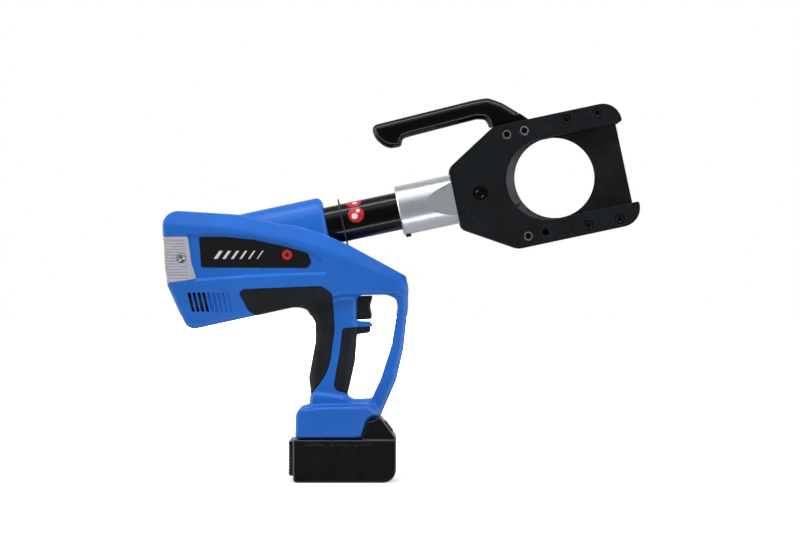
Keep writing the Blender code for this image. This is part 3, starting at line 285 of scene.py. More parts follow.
def rounded(corners, steps=10):
    """Points of an outline whose corners are (x, z) or, with an arc of that radius, (x, z, radius)."""
    points = []
    for i, corner in enumerate(corners):
        here = Vector(corner[:2])
        if len(corner) == 2:
            points.append(tuple(here))
            continue
        back = (Vector(corners[i - 1][:2]) - here).normalized()
        ahead = (Vector(corners[(i + 1) % len(corners)][:2]) - here).normalized()
        half = back.angle(ahead) / 2.0
        centre = here + (back + ahead).normalized() * (corner[2] / math.sin(half))
        reach = corner[2] / math.tan(half)
        start = here + back * reach - centre
        end = here + ahead * reach - centre
        first = math.atan2(start.y, start.x)
        sweep = (math.atan2(end.y, end.x) - first + math.pi) % FULL - math.pi
        for k in range(steps + 1):
            angle = first + sweep * k / steps
            points.append(tuple(centre + Vector((math.cos(angle), math.sin(angle))) * corner[2]))
    return points


def circle(centre, radius, steps=64):
    angles = [FULL * k / steps for k in range(steps)]
    return [(centre[0] + radius * math.cos(a), centre[1] + radius * math.sin(a)) for a in angles]


def arc(radius, first, last, steps=64):
    angles = [math.radians(first + (last - first) * k / steps) for k in range(steps + 1)]
    return [(radius * math.cos(a), radius * math.sin(a)) for a in angles]


# --- distance fields


def path_distance(points, x, z, closed=True):
    """Unsigned distance from (x, z) to a line through points."""
    best = np.full(np.broadcast(x, z).shape, 1e9)
    ends = points[1:] + points[:1] if closed else points[1:]
    for (ax, az), (bx, bz) in zip(points, ends):
        ex, ez = bx - ax, bz - az
        wx, wz = x - ax, z - az
        t = np.clip((wx * ex + wz * ez) / max(ex * ex + ez * ez, 1e-9), 0.0, 1.0)
        best = np.minimum(best, (wx - ex * t) ** 2 + (wz - ez * t) ** 2)
    return np.sqrt(best)


def outline(corners, x, z, soften=0.0):
    """Signed distance to a closed outline, negative inside; soften blurs it over that many millimetres."""
    points = rounded(corners)
    inside = np.zeros(np.broadcast(x, z).shape, bool)
    for (ax, az), (bx, bz) in zip(points, points[1:] + points[:1]):
        if az == bz:
            continue
        spans = (az > z) != (bz > z)
        inside ^= spans & (x < (bx - ax) * (z - az) / (bz - az) + ax)
    distance = np.where(inside, -1.0, 1.0) * path_distance(points, x, z)
    return blurred(distance, soften / (x.flat[1] - x.flat[0])) if soften else distance


def blurred(values, sigma):
    """A Gaussian blur along the first and the last axis; sigma is in cells."""
    reach = int(math.ceil(2.5 * sigma))
    weights = np.exp(-0.5 * (np.arange(-reach, reach + 1) / sigma) ** 2)
    weights /= weights.sum()
    for axis in (0, 2):
        edges = [(reach, reach) if i == axis else (0, 0) for i in range(3)]
        padded = np.pad(values, edges, mode="reflect", reflect_type="odd")
        size = values.shape[axis]
        values = sum(w * np.take(padded, range(k, k + size), axis=axis) for k, w in enumerate(weights))
    return values


def union(a, b, k=0.0):
    """The smaller of two distances, with a fillet about k wide."""
    if np.all(k == 0.0):
        return np.minimum(a, b)
    h = np.clip(0.5 + 0.5 * (b - a) / k, 0.0, 1.0)
    return b + (a - b) * h - k * h * (1.0 - h)


def both(a, b, k=0.0):
    """The larger of two distances, with a rounding about k wide."""
    return -union(-a, -b, k)


def without(a, b, k=0.0):
    return both(a, -b, k)


def solid(flat, side, radius):
    """An outline distance and a thickness distance made one solid, with its edges rounded."""
    a, b = flat + radius, side + radius
    return np.minimum(np.maximum(a, b), 0.0) + np.hypot(np.maximum(a, 0.0), np.maximum(b, 0.0)) - radius


def nearest(*distances):
    """The union of several distances."""
    return functools.reduce(np.minimum, distances)


def block(x, y, z, low, high):
    """Distance to a plain box."""
    sides = [np.abs(v - (a + b) / 2.0) - (b - a) / 2.0 for v, a, b in zip((x, y, z), low, high)]
    return functools.reduce(np.maximum, sides)


def around(place, x, z):
    """Distance to a line that runs across the tool through place."""
    return np.hypot(x - place[0], z - place[1])


def wave(value, pitch):
    """Zero at zero and at each pitch, one halfway between."""
    return 0.5 - 0.5 * np.cos(FULL * value / pitch)


def smooth(low, high, value):
    t = np.clip((value - low) / (high - low), 0.0, 1.0)
    return t * t * (3.0 - 2.0 * t)


def to_tool(x, z):
    """World x and z in the tool's axes, in millimetres."""
    ox, oz = TOOL[0][3] / MM, TOOL[2][3] / MM
    c, s = math.cos(TOOL_TILT), math.sin(TOOL_TILT)
    return (x - ox) * c + (z - oz) * s, (z - oz) * c - (x - ox) * s


# --- meshing


def sample(values, places):
    """Values of a grid at places given in cells, read between the grid's points."""
    limit = np.array(values.shape) - 2
    base = np.clip(np.floor(places).astype(int), 0, limit)
    part = places - base
    total = np.zeros(len(places))
    for corner in np.ndindex(2, 2, 2):
        weight = np.prod(np.where(corner, part, 1.0 - part), axis=1)
        i, j, k = (base + corner).T
        total += weight * values[i, j, k]
    return total


def slope(values, places, reach=0.75):
    """The gradient of a grid at places, per cell."""
    columns = []
    for axis in range(3):
        step = np.eye(3)[axis] * reach
        columns.append((sample(values, places + step) - sample(values, places - step)) / (2.0 * reach))
    return np.stack(columns, axis=1)


def net(values):
    """Vertices, in cells, and quads of a grid's zero level: one vertex in each cell that it crosses."""
    inside = values < 0.0
    shape = tuple(n - 1 for n in values.shape)
    offsets = [np.array(c) for c in np.ndindex(2, 2, 2)]
    count = np.zeros(shape, np.int8)
    for i, j, k in offsets:
        count += inside[i : i + shape[0], j : j + shape[1], k : k + shape[2]]
    active = (count > 0) & (count < 8)
    cells = np.argwhere(active)
    index = np.full(shape, -1, np.int64)
    index[active] = np.arange(len(cells))
    total = np.zeros((len(cells), 3))
    hits = np.zeros(len(cells))
    for a in offsets:
        for axis in range(3):
            if a[axis]:
                continue
            b = a + np.eye(3, dtype=int)[axis]
            first = values[tuple((cells + a).T)]
            last = values[tuple((cells + b).T)]
            crosses = (first < 0.0) != (last < 0.0)
            t = np.where(crosses, first / np.where(crosses, first - last, 1.0), 0.0)
            total += np.where(crosses[:, None], a + (b - a) * t[:, None], 0.0)
            hits += crosses
    vertices = cells + total / hits[:, None]
    quads = []
    for axis in range(3):
        lower = np.take(inside, range(values.shape[axis] - 1), axis=axis)
        upper = np.take(inside, range(1, values.shape[axis]), axis=axis)
        edges = np.argwhere(lower != upper)
        b, c = (axis + 1) % 3, (axis + 2) % 3
        keep = (edges[:, b] > 0) & (edges[:, c] > 0)
        keep &= (edges[:, b] < values.shape[b] - 1) & (edges[:, c] < values.shape[c] - 1)
        edges = edges[keep]
        eb, ec = np.eye(3, dtype=int)[b], np.eye(3, dtype=int)[c]
        ring = [index[tuple(p.T)] for p in (edges - eb - ec, edges - ec, edges, edges - eb)]
        ring = np.stack(ring, axis=1)
        outward = inside[tuple(edges.T)]
        quads.append(np.where(outward[:, None], ring, ring[:, ::-1]))
    return vertices, np.concatenate(quads)


def moulded(name, low, high, step, field, matrix=WORLD):
    """A piece from a distance field over a box, in millimetres; matrix takes it to the world."""
    axes = [np.arange(lo - step, hi + 2.0 * step, step) for lo, hi in zip(low, high)]
    x = axes[0][:, None, None]
    y = axes[1][None, :, None]
    z = axes[2][None, None, :]
    values = np.array(np.broadcast_to(field(x, y, z), [len(a) for a in axes]), np.float32)
    vertices, quads = net(values)
    for _ in range(2):
        gradient = slope(values, vertices)
        move = sample(values, vertices) / np.maximum((gradient**2).sum(axis=1), 1e-4)
        shift = gradient * move[:, None]
        size = np.linalg.norm(shift, axis=1, keepdims=True)
        vertices -= shift * np.minimum(1.0, 0.4 / np.maximum(size, 1e-9))
    normals = slope(values, vertices)
    normals /= np.maximum(np.linalg.norm(normals, axis=1, keepdims=True), 1e-9)
    origin = np.array([a[0] for a in axes])
    turn = np.array(matrix)
    places = (origin + vertices * step) @ turn[:3, :3].T + turn[:3, 3]
    normals = normals @ (turn[:3, :3].T / MM)
    mesh = bpy.data.meshes.new(name)
    mesh.from_pydata(places.tolist(), [], quads.tolist())
    mesh.shade_smooth()
    mesh.normals_split_custom_set_from_vertices(normals.tolist())
    return placed(name, mesh)


def placed(name, data):
    obj = bpy.data.objects.new(name, data)
    bpy.context.scene.collection.objects.link(obj)
    return obj


def formed(name, shape, matrix):
    """An object from a bmesh, its faces turned outwards and its points taken to the world."""
    bmesh.ops.recalc_face_normals(shape, faces=shape.faces)
    bmesh.ops.transform(shape, matrix=matrix, verts=shape.verts)
    mesh = bpy.data.meshes.new(name)
    shape.to_mesh(mesh)
    shape.free()
    return placed(name, mesh)


def evaluated(obj):
    bpy.context.view_layer.update()
    return bpy.data.meshes.new_from_object(obj.evaluated_get(bpy.context.evaluated_depsgraph_get()))


def baked(obj):
    """obj with its modifiers applied."""
    mesh = evaluated(obj)
    obj.modifiers.clear()
    obj.data = mesh
    return obj


def crisp(obj, angle=32.0):
    """Smooth shading that breaks at sharp edges and stays even across flat faces."""
    obj.data.shade_smooth()
    obj.data.set_sharp_from_angle(angle=math.radians(angle))
    obj.modifiers.new("even", "WEIGHTED_NORMAL").keep_sharp = True
    return baked(obj)


def plate(name, loops, low, high, edge=0.6, matrix=TOOL):
    """A flat outline in x and z, thick from y = low to high, its edges rounded; further loops are holes."""
    curve = bpy.data.curves.new(name + "_outline", "CURVE")
    curve.dimensions = "2D"
    curve.fill_mode = "BOTH"
    curve.extrude = (high - low) / 2.0 - edge
    curve.bevel_depth = edge
    curve.bevel_resolution = 2
    curve.offset = -edge
    for loop in loops:
        spline = curve.splines.new("POLY")
        spline.points.add(len(loop) - 1)
        spline.use_cyclic_u = True
        for point, (x, z) in zip(spline.points, loop):
            point.co = (x, z, 0.0, 1.0)
    guide = placed(name + "_guide", curve)
    flat = evaluated(guide)
    bpy.data.objects.remove(guide)
    stand = Matrix.Translation((0.0, (low + high) / 2.0, 0.0)) @ Matrix.Rotation(QUARTER, 4, "X")
    shape = bmesh.new()
    shape.from_mesh(flat)
    bmesh.ops.transform(shape, matrix=stand, verts=shape.verts)
    bmesh.ops.remove_doubles(shape, verts=shape.verts, dist=WELD)
    return crisp(formed(name, shape, matrix))


def turned(name, profile, axis="X", centre=(0.0, 0.0), steps=TURN, matrix=TOOL, closed=False):
    """A profile of (place along the axis, radius) turned about "X", "Y" or "Z" through centre."""
    shape = bmesh.new()
    order = {"X": (0, 1, 2), "Y": (1, 0, 2), "Z": (1, 2, 0)}[axis]
    rings = []
    for along, radius in profile:
        ring = []
        for k in range(steps if radius else 1):
            a = FULL * k / steps
            place = (along, radius * math.cos(a) + centre[0], radius * math.sin(a) + centre[1])
            ring.append(shape.verts.new([place[i] for i in order]))
        rings.append(ring)
    for first, last in zip(rings, rings[1:] + rings[:1] if closed else rings[1:]):
        strip(shape, first, last, steps)
    return crisp(formed(name, shape, matrix))


def strip(shape, first, last, steps):
    """Faces between two rings of points, either of which may be a single point."""
    for k in range(steps):
        n = (k + 1) % steps
        corners = [first[k % len(first)], first[n % len(first)], last[n % len(last)], last[k % len(last)]]
        corners = list(dict.fromkeys(corners))
        if len(corners) > 2:
            shape.faces.new(corners)


def cut(obj, *tools, operation="DIFFERENCE"):
    """Cuts tools from obj, or crosses them with it, and removes the tools."""
    for tool in tools:
        boolean = obj.modifiers.new(tool.name, "BOOLEAN")
        boolean.operation = operation
        boolean.solver = "MANIFOLD"
        boolean.object = tool
    baked(obj)
    for tool in tools:
        bpy.data.objects.remove(tool)
    return crisp(obj)


def prism(name, points, low, high, axis="Y", matrix=TOOL):
    """A straight-sided cutter: points are its outline, low and high its ends along the axis."""
    shape = bmesh.new()
    order = {"Y": (0, 2, 1), "Z": (0, 1, 2)}[axis]
    ends = [[shape.verts.new([(p, q, a)[i] for i in order]) for p, q in points] for a in (low, high)]
    strip(shape, *ends, len(points))
    for end in ends:
        shape.faces.new(end)
    return formed(name, shape, matrix)


# --- materials


class Graph:
    """Shader nodes, added and linked in short calls."""

    def __init__(self, tree):
        self.tree = tree

    def node(self, kind, **values):
        node = self.tree.nodes.new("ShaderNode" + kind)
        for key, value in values.items():
            setattr(node, key, value)
        return node

    def link(self, value, socket):
        """Gives socket another node's output, a number or an (r, g, b) colour."""
        if isinstance(value, bpy.types.NodeSocket):
            self.tree.links.new(value, socket)
        else:
            socket.default_value = (*value, 1.0) if isinstance(value, tuple) else value

    def math(self, operation, *terms):
        node = self.node("Math", operation=operation)
        for term, socket in zip(terms, node.inputs):
            self.link(term, socket)
        return node.outputs[0]

    def mix(self, factor, first, second, kind="FLOAT"):
        """first where factor is zero, second where it is one."""
        node = self.node("Mix", data_type=kind)
        start, output = {"FLOAT": (2, 0), "RGBA": (6, 2)}[kind]
        for value, socket in zip((factor, first, second), (node.inputs[0], *node.inputs[start : start + 2])):
            self.link(value, socket)
        return node.outputs[output]


class Finish(Graph):
    """A procedural material: one Principled shader whose inputs are built up from noise."""

    def __init__(self, name, color, roughness, metallic=0.0, specular=0.5, coat=0.0):
        self.material = bpy.data.materials.new(name)
        self.material.use_nodes = True
        super().__init__(self.material.node_tree)
        self.shader = self.tree.nodes["Principled BSDF"]
        self.place = self.node("TexCoord").outputs["Object"]
        plain = {"Metallic": metallic, "Specular IOR Level": specular, "Coat Weight": coat}
        for socket, value in {**plain, "Coat Roughness": 0.06}.items():
            self.link(value, self.shader.inputs[socket])
        self.base = self.color = color
        self.roughness = roughness
        self.height = 0.0

    def ramp(self, output, low, high):
        node = self.node("MapRange", clamp=True, interpolation_type="SMOOTHSTEP")
        for name, value in {"Value": output, "From Min": low, "From Max": high}.items():
            self.link(value, node.inputs[name])
        return node.outputs["Result"]

    def noise(self, size, detail=3.0, stretch=(1.0, 1.0, 1.0), tilt=False):
        """Noise whose blotches are about size millimetres across."""
        place = self.node("Mapping", vector_type="TEXTURE")
        place.inputs["Rotation"].default_value = (0.0, -TOOL_TILT if tilt else 0.0, 0.0)
        place.inputs["Scale"].default_value = stretch
        self.link(self.place, place.inputs["Vector"])
        node = self.node("TexNoise")
        for name, value in {"Scale": 1.0 / (size * MM), "Detail": detail, "Vector": place.outputs[0]}.items():
            self.link(value, node.inputs[name])
        return node.outputs["Fac"]

    def cells(self, size):
        node = self.node("TexVoronoi")
        self.link(1.0 / (size * MM), node.inputs["Scale"])
        self.link(self.place, node.inputs["Vector"])
        return node.outputs["Distance"]

    def tint(self, factor, color):
        """Mixes color in where factor is one."""
        self.color = self.mix(factor, self.color, color, "RGBA")

    def mottle(self, shade, size, low, high, detail=3.0):
        """Blotches of the base colour times shade."""
        self.tint(self.ramp(self.noise(size, detail), low, high), shade_of(self.base, shade))

    def rougher(self, factor, amount):
        self.roughness = self.math("ADD", self.roughness, self.math("MULTIPLY", factor, amount))

    def uneven(self, size, amount, detail=3.0):
        """Blotches of more roughness."""
        self.rougher(self.noise(size, detail), amount)

    def raise_by(self, factor, depth):
        """Adds relief: factor is from zero to one, depth in millimetres."""
        self.height = self.math("ADD", self.height, self.math("MULTIPLY", factor, depth * MM))

    def edges(self, color, amount):
        """Wear where the surface is sharply convex, broken up by noise."""
        point = self.ramp(self.node("NewGeometry").outputs["Pointiness"], 0.53, 0.62)
        worn = self.math("MULTIPLY", point, self.ramp(self.noise(3.0, 5.0), 0.35, 0.65))
        worn = self.math("MULTIPLY", worn, amount)
        self.tint(worn, color)
        self.rougher(worn, 0.12)

    def done(self):
        self.link(self.color, self.shader.inputs["Base Color"])
        self.link(self.roughness, self.shader.inputs["Roughness"])
        if self.height:
            bump = self.node("Bump")
            for name, value in {"Strength": 1.0, "Distance": 1.0, "Height": self.height}.items():
                self.link(value, bump.inputs[name])
            self.link(bump.outputs["Normal"], self.shader.inputs["Normal"])
        return self.material


def shade_of(color, factor):
    return tuple(min(1.0, c * factor) for c in color)


def moulded_plastic(name, color, roughness, grain=0.012):
    finish = Finish(name, color, roughness)
    finish.mottle(1.12, 55.0, 0.35, 0.7)
    finish.mottle(0.86, 9.0, 0.62, 0.8, 5.0)
    finish.raise_by(finish.noise(0.55, 2.0), grain)
    finish.uneven(14.0, 0.14)
    finish.edges(shade_of(color, 1.7), 0.35)
    return finish.done()


def soft_rubber(name, color):
    finish = Finish(name, color, 0.62, specular=0.35)
    finish.mottle(1.9, 26.0, 0.4, 0.75, 5.0)
    finish.mottle(3.2, 1.6, 0.66, 0.78)
    finish.raise_by(finish.cells(0.7), 0.05)
    finish.raise_by(finish.noise(0.3, 2.0), 0.012)
    finish.uneven(6.0, 0.2)
    return finish.done()


def gloss_paint(name, color):
    finish = Finish(name, color, 0.12, specular=0.3)
    finish.mottle(1.6, 30.0, 0.4, 0.7)
    finish.raise_by(finish.noise(7.0, 1.0), 0.01)
    finish.uneven(18.0, 0.06, 5.0)
    return finish.done()


def phosphated(name, color, roughness=0.46, metallic=0.35):
    finish = Finish(name, color, roughness, metallic=metallic, specular=0.4)
    finish.mottle(1.7, 38.0, 0.35, 0.75, 5.0)
    finish.mottle(2.4, 0.9, 0.6, 0.78)
    finish.raise_by(finish.noise(0.5), 0.02)
    finish.uneven(11.0, 0.22, 5.0)
    finish.edges((0.12, 0.125, 0.13), 0.14)
    return finish.done()


def ground_steel(name, color, roughness, tilt=True):
    finish = Finish(name, color, roughness, metallic=1.0)
    lines = finish.noise(0.35, 2.0, (60.0, 1.0, 1.0), tilt)
    finish.tint(finish.ramp(lines, 0.4, 0.7), shade_of(color, 0.82))
    finish.mottle(0.72, 24.0, 0.5, 0.8, 5.0)
    finish.raise_by(lines, 0.004)
    finish.rougher(lines, 0.1)
    finish.uneven(16.0, 0.08)
    return finish.done()


def turned_steel(name, color, roughness):
    """Satin plate with fine turning marks square to the tool's axis."""
    finish = Finish(name, color, roughness, metallic=0.72)
    marks = finish.noise(0.3, 2.0, (1.0, 40.0, 40.0), True)
    finish.tint(finish.ramp(marks, 0.35, 0.7), shade_of(color, 0.9))
    finish.mottle(0.88, 30.0, 0.5, 0.8, 4.0)
    finish.raise_by(marks, 0.0003)
    finish.rougher(marks, 0.04)
    finish.rougher(finish.ramp(finish.noise(9.0, 6.0), 0.55, 0.75), 0.03)
    return finish.done()


def cast_metal(name, color, roughness):
    finish = Finish(name, color, roughness, metallic=1.0)
    finish.mottle(0.75, 6.0, 0.4, 0.7, 5.0)
    finish.raise_by(finish.noise(0.9, 4.0), 0.05)
    finish.uneven(3.0, 0.15)
    finish.edges(shade_of(color, 1.3), 0.4)
    return finish.done()


def label_film(name, color):
    """Glossy black film with a few plain slanted bars and a plain red ring, which spell nothing."""
    finish = Finish(name, color, 0.2, coat=0.4)
    calculate = finish.math
    low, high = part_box("label_plate_right")
    axes = finish.node("SeparateXYZ")
    finish.link(finish.place, axes.inputs[0])
    x = axes.outputs["X"]
    up = calculate("SUBTRACT", axes.outputs["Z"], (low.z + high.z) / 2.0 - 2.5 * MM)
    leaning = calculate("SUBTRACT", x, calculate("MULTIPLY", up, 0.7))
    pitch, start, length, half_height = 9.0 * MM, 16.0 * MM, 54.0 * MM, 4.2 * MM
    teeth = calculate("FRACT", calculate("DIVIDE", calculate("SUBTRACT", leaning, low.x), pitch))
    run = calculate("DIVIDE", calculate("SUBTRACT", leaning, low.x + start), length)
    fade = calculate("ADD", 0.12, calculate("MULTIPLY", calculate("SUBTRACT", 1.0, run), 0.34))
    bars = calculate("LESS_THAN", calculate("ABSOLUTE", up), half_height)
    for operation, a, b in (("LESS_THAN", teeth, fade), ("GREATER_THAN", run, 0.0), ("LESS_THAN", run, 1.0)):
        bars = calculate("MULTIPLY", bars, calculate(operation, a, b))
    finish.tint(bars, (0.72, 0.73, 0.75))
    along = calculate("SUBTRACT", x, high.x - 25.0 * MM)
    reach = calculate("ADD", calculate("MULTIPLY", along, along), calculate("MULTIPLY", up, up))
    for radius, shade in ((5.2 * MM, (0.62, 0.02, 0.03)), (2.2 * MM, (0.02, 0.02, 0.022))):
        finish.tint(calculate("LESS_THAN", reach, radius**2), shade)
    finish.uneven(20.0, 0.12, 5.0)
    finish.raise_by(finish.noise(5.0, 1.0), 0.008)
    return finish.done()


def sticker_print(name, color):
    """Red film with faint mottling."""
    finish = Finish(name, color, 0.32, coat=0.3)
    finish.mottle(0.8, 4.0, 0.45, 0.7)
    finish.uneven(3.0, 0.12)
    return finish.done()


def battery_plastic(name, color):
    finish = Finish(name, color, 0.26, coat=0.15)
    finish.mottle(1.8, 26.0, 0.4, 0.7, 4.0)
    finish.raise_by(finish.noise(0.6, 2.0), 0.008)
    finish.uneven(12.0, 0.2, 5.0)
    finish.edges((0.1, 0.1, 0.105), 0.25)
    return finish.done()


def materials():
    blue = (0.008, 0.138, 0.59)
    return {
        "body_plastic": moulded_plastic("blue_plastic", blue, 0.34),
        "grip_rubber": soft_rubber("grip_rubber", (0.0045, 0.0065, 0.009)),
        "cap_plastic": moulded_plastic("silver_plastic", (0.47, 0.47, 0.53), 0.34, 0.008),
        "label_film": label_film("label_film", (0.006, 0.006, 0.007)),
        "black_plastic": moulded_plastic("black_plastic", (0.008, 0.009, 0.011), 0.42),
        "battery_plastic": battery_plastic("battery_plastic", (0.0012, 0.0018, 0.0026)),
        "gloss_black": gloss_paint("gloss_black", (0.001, 0.0013, 0.0018)),
        "phosphated_steel": phosphated("black_phosphate", (0.005, 0.0068, 0.0085)),
        "worn_steel": phosphated("worn_phosphate", (0.36, 0.36, 0.37), 0.32, 0.95),
        "blade_steel": phosphated("blade_steel", (0.03, 0.031, 0.035), 0.36, 0.85),
        "satin_nickel": turned_steel("satin_nickel", (0.76, 0.79, 0.86), 0.27),
        "bright_steel": ground_steel("bright_steel", (0.58, 0.58, 0.6), 0.2),
        "cast_aluminium": cast_metal("cast_aluminium", (0.5, 0.51, 0.53), 0.42),
        "motor_steel": ground_steel("plated_steel", (0.3, 0.3, 0.32), 0.34, False),
        "brass": cast_metal("brass", (0.6, 0.44, 0.17), 0.28),
        "seal_rubber": soft_rubber("seal_rubber", (0.01, 0.01, 0.01)),
        "cell_wrap": moulded_plastic("cell_wrap", (0.03, 0.22, 0.12), 0.3),
        "sticker_red": sticker_print("sticker_red", (0.62, 0.012, 0.022)),
        "sticker_white": moulded_plastic("sticker_white", (0.75, 0.74, 0.74), 0.35, 0.004),
    }


MATERIALS = materials()
BODY_OF = {n: body for body, nodes in RECORD["behaviour"]["bodies"].items() for n in nodes}
SLOT_OF = {part["node"]: part["material_slot"] for part in RECORD["subparts"]}


def stands_for(obj, node, material=None):
    """obj is shown in place of a CAD node, on the same body and in the same finish."""
    obj.data.materials.clear()
    obj.data.materials.append(MATERIALS[material or SLOT_OF[node]])
    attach(obj, BODY_OF[node])
    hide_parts(node)
    return obj


# --- housing


def body_half(x, z):
    """Half the body's width: full at the rear, narrowing to the finger guard and below the leaf."""
    places = [-200.0, -45.0, -25.0, -5.0, 15.0, 35.0, 55.0, 70.0]
    halves = [BODY_HALF, BODY_HALF, 33.2, 30.5, 26.0, 20.6, 15.4, 12.4]
    draft = 0.13 * np.maximum(0.0, 208.0 - z) * (1.0 - smooth(-45.0, 15.0, x))
    return np.interp(x, places, halves) - draft


def band_height(x):
    """How tall the sloping shoulder under the ridge is."""
    return np.interp(x, [-150.0, -20.0, 40.0, 68.0], [16.0, 16.0, 12.0, 6.0])


def housing_form(x, y, z):
    """The housing's whole outside."""
    side = np.abs(y)
    inward = -path_distance(RIDGE, x, z, closed=False)
    upper_side = (side - body_half(x, z)) * 0.97
    upper = solid(outline(BODY, x, z, 1.2), upper_side, 5.5)
    upper = both(upper, BAND_UP * (inward + band_height(x)) + BAND_OUT * upper_side, 1.2)
    guard_side = side - GUARD_HALF
    guard = solid(outline(GUARD, x, z, 1.0), guard_side, 4.2)
    guard = both(guard, 0.66 * (inward + 5.0) + 0.75 * guard_side, 1.2)
    handle = solid(outline(HANDLE, x, z, 1.5), side - HANDLE_HALF, 9.0)
    foot = solid(outline(FOOT, x, z, 0.8), side - np.interp(x, [12.0, 40.0], [FOOT_HALF, 25.0]), 5.0)
    foot_top = solid(outline(FOOT_TOP, x, z, 1.2), side - FOOT_TOP_HALF, 5.0)
    shelf = solid(outline(SHELF, x, z), side - SHELF_HALF, 2.4)
    u, w = to_tool(x, z)
    sleeve_side = (np.hypot(w, y * SLEEVE_RADIUS / SLEEVE_HALF) - SLEEVE_RADIUS) * 0.9
    beyond = u - SLEEVE_FRONT
    sleeve = both(sleeve_side, beyond)
    sleeve = both(sleeve, 0.707 * (sleeve_side + beyond + 3.8), 1.5)
    sleeve = both(sleeve, 0.9 * (SLEEVE_REAR - u) + 0.4 * sleeve_side, 3.0)
    form = union(union(upper, handle, 7.0), guard, 4.0)
    form = union(form, union(foot, foot_top, 5.0), 4.0)
    form = union(union(form, guard, 1.0), sleeve, 1.0)
    return union(form, shelf, 2.0)


def leaf_recess(x, y, z):
    """The shallow leaf-shaped field around the label, open to the rear cap."""
    leaf = outline(LEAF, x, z, 0.8)
    return both(leaf, (BODY_HALF - LEAF_DEPTH) - np.abs(y), 1.2)


def vents(x, y, z):
    """Four slots through the wall, and five shallow grooves ahead of them."""
    top, bottom, lean, pitch, first = 199.6, 179.2, 4.6, 5.05, -161.4
    slant = x - first - lean * (top - z) / (top - bottom)
    along = np.abs(z - (top + bottom) / 2.0) - (top - bottom) / 2.0
    side = np.abs(y)
    slots = [both(both(np.abs(slant - pitch * k) - 1.55, along, 1.0), 20.0 - side) for k in range(4)]
    for k in range(4, 9):
        groove = both(np.abs(slant - pitch * k) - 1.25, along, 1.0)
        slots.append(both(groove, body_half(x, z) - 2.6 + 0.2 * (k - 4) - side, 0.3))
    return nearest(*slots)


def hollow(x, y, z):
    """The space inside the housing."""
    side = np.abs(y)
    pillars = nearest(*(around(spot(name, WORLD), x, z) for name in BODY_SCREWS[:2]))
    flat = outline(BODY, x, z)
    wide = side - body_half(x, z)
    room = solid(flat + WALL, wide + WALL, 2.0)
    room = both(room, BAND_UP * (flat + band_height(x)) + BAND_OUT * wide + WALL, 2.0)
    room = both(both(room, 5.0 - pillars), x - 14.0)
    chute = both(outline(HANDLE, x, z) + 4.1, side - HANDLE_HALF + 4.0)
    u, w = to_tool(x, z)
    off_axis = np.hypot(w, y)
    sleeve = both(np.hypot(w, y * SLEEVE_RADIUS / SLEEVE_HALF) - 27.0, both(-332.2 - u, u + 250.3))
    bore = both(off_axis - 20.8, both(-262.0 - u, u + 230.0))
    ring = both(off_axis - 26.2, np.abs(u - middle("swivel_ring")[0]) - 2.2)
    neck = both(off_axis - 20.5, both(-262.0 - u, u + 150.0))
    boxes = [block(x, y, z, *corners) for corners in (BATTERY_CHANNEL, WIRE_DUCT, TRIGGER_WINDOW)]
    return nearest(room, chute, sleeve, bore, ring, neck, *boxes)


def screw_bores(x, y, z):
    """Counterbores for the screws that enter from the left."""
    bores = []
    for name in BODY_SCREWS:
        off_axis = around(spot(name, WORLD), x, z)
        seat = extent(name, WORLD)[1][1] - 3.3
        bores += [both(off_axis - 4.3, seat - y), both(off_axis - 2.2, -16.5 - y)]
    return nearest(*bores)


def covered(outside, flat, gap=0.0):
    """The layer that a cover with this outline takes from the outside, grown by gap."""
    return both(flat - gap, -(outside + COVER + gap))


def housing_half(side):
    """One blue shell: side is -1 for the right one, 1 for the left."""

    def field(x, y, z):
        outside = housing_form(x, y, z)
        shell = without(outside, leaf_recess(x, y, z), np.interp(z, [220.0, 232.0], [4.5, 0.8]))
        for cover, overlap, k in ((BACK_GRIP, 2.0 * GAP, 0.8), (FRONT_GRIP, 0.0, 0.6), (REAR_CAP, 0.0, 0.8)):
            shell = without(shell, covered(outside, outline(cover, x, z) + overlap, GAP), k)
        label = both(outline(LABEL, x, z) - GAP, BODY_HALF - LEAF_DEPTH - 1.2 - np.abs(y))
        shell = without(shell, label, 0.3)
        shell = without(shell, vents(x, y, z), 0.5)
        shell = without(shell, hollow(x, y, z))
        shell = without(shell, around(spot("rear_cap_screw_right", WORLD), x, z) - CAP_HOLE)
        if side > 0:
            shell = without(shell, screw_bores(x, y, z), 0.4)
        return both(shell, 0.12 - y * side, 0.3)

    node = "housing_left" if side > 0 else "housing_right"
    low, high = extent(node, WORLD)
    low[1], high[1] = (0.0, FOOT_HALF) if side > 0 else (-FOOT_HALF, 0.0)
    stands_for(moulded("blue_" + node, low - 1.0, high + 1.0, GRID, field), node)


def grips():
    def back(x, y, z):
        outside = housing_form(x, y, z)
        return both(covered(outside, outline(BACK_GRIP, x, z, 0.6)), outside + 0.25, 1.4)

    def front(x, y, z):
        outside = housing_form(x, y, z)
        layer = both(covered(outside, outline(FRONT_GRIP, x, z, 0.6)), outside + 0.25, 1.2)
        return without(layer, block(x, y, z, *TRIGGER_WINDOW))

    for node, field, grow in (("back_grip", back, 3.0), ("front_grip", front, np.array([14.0, 3.0, 16.0]))):
        low, high = extent(node, WORLD)
        stands_for(moulded("rubber_" + node, low - 3.0, high + grow, 0.8, field), node)


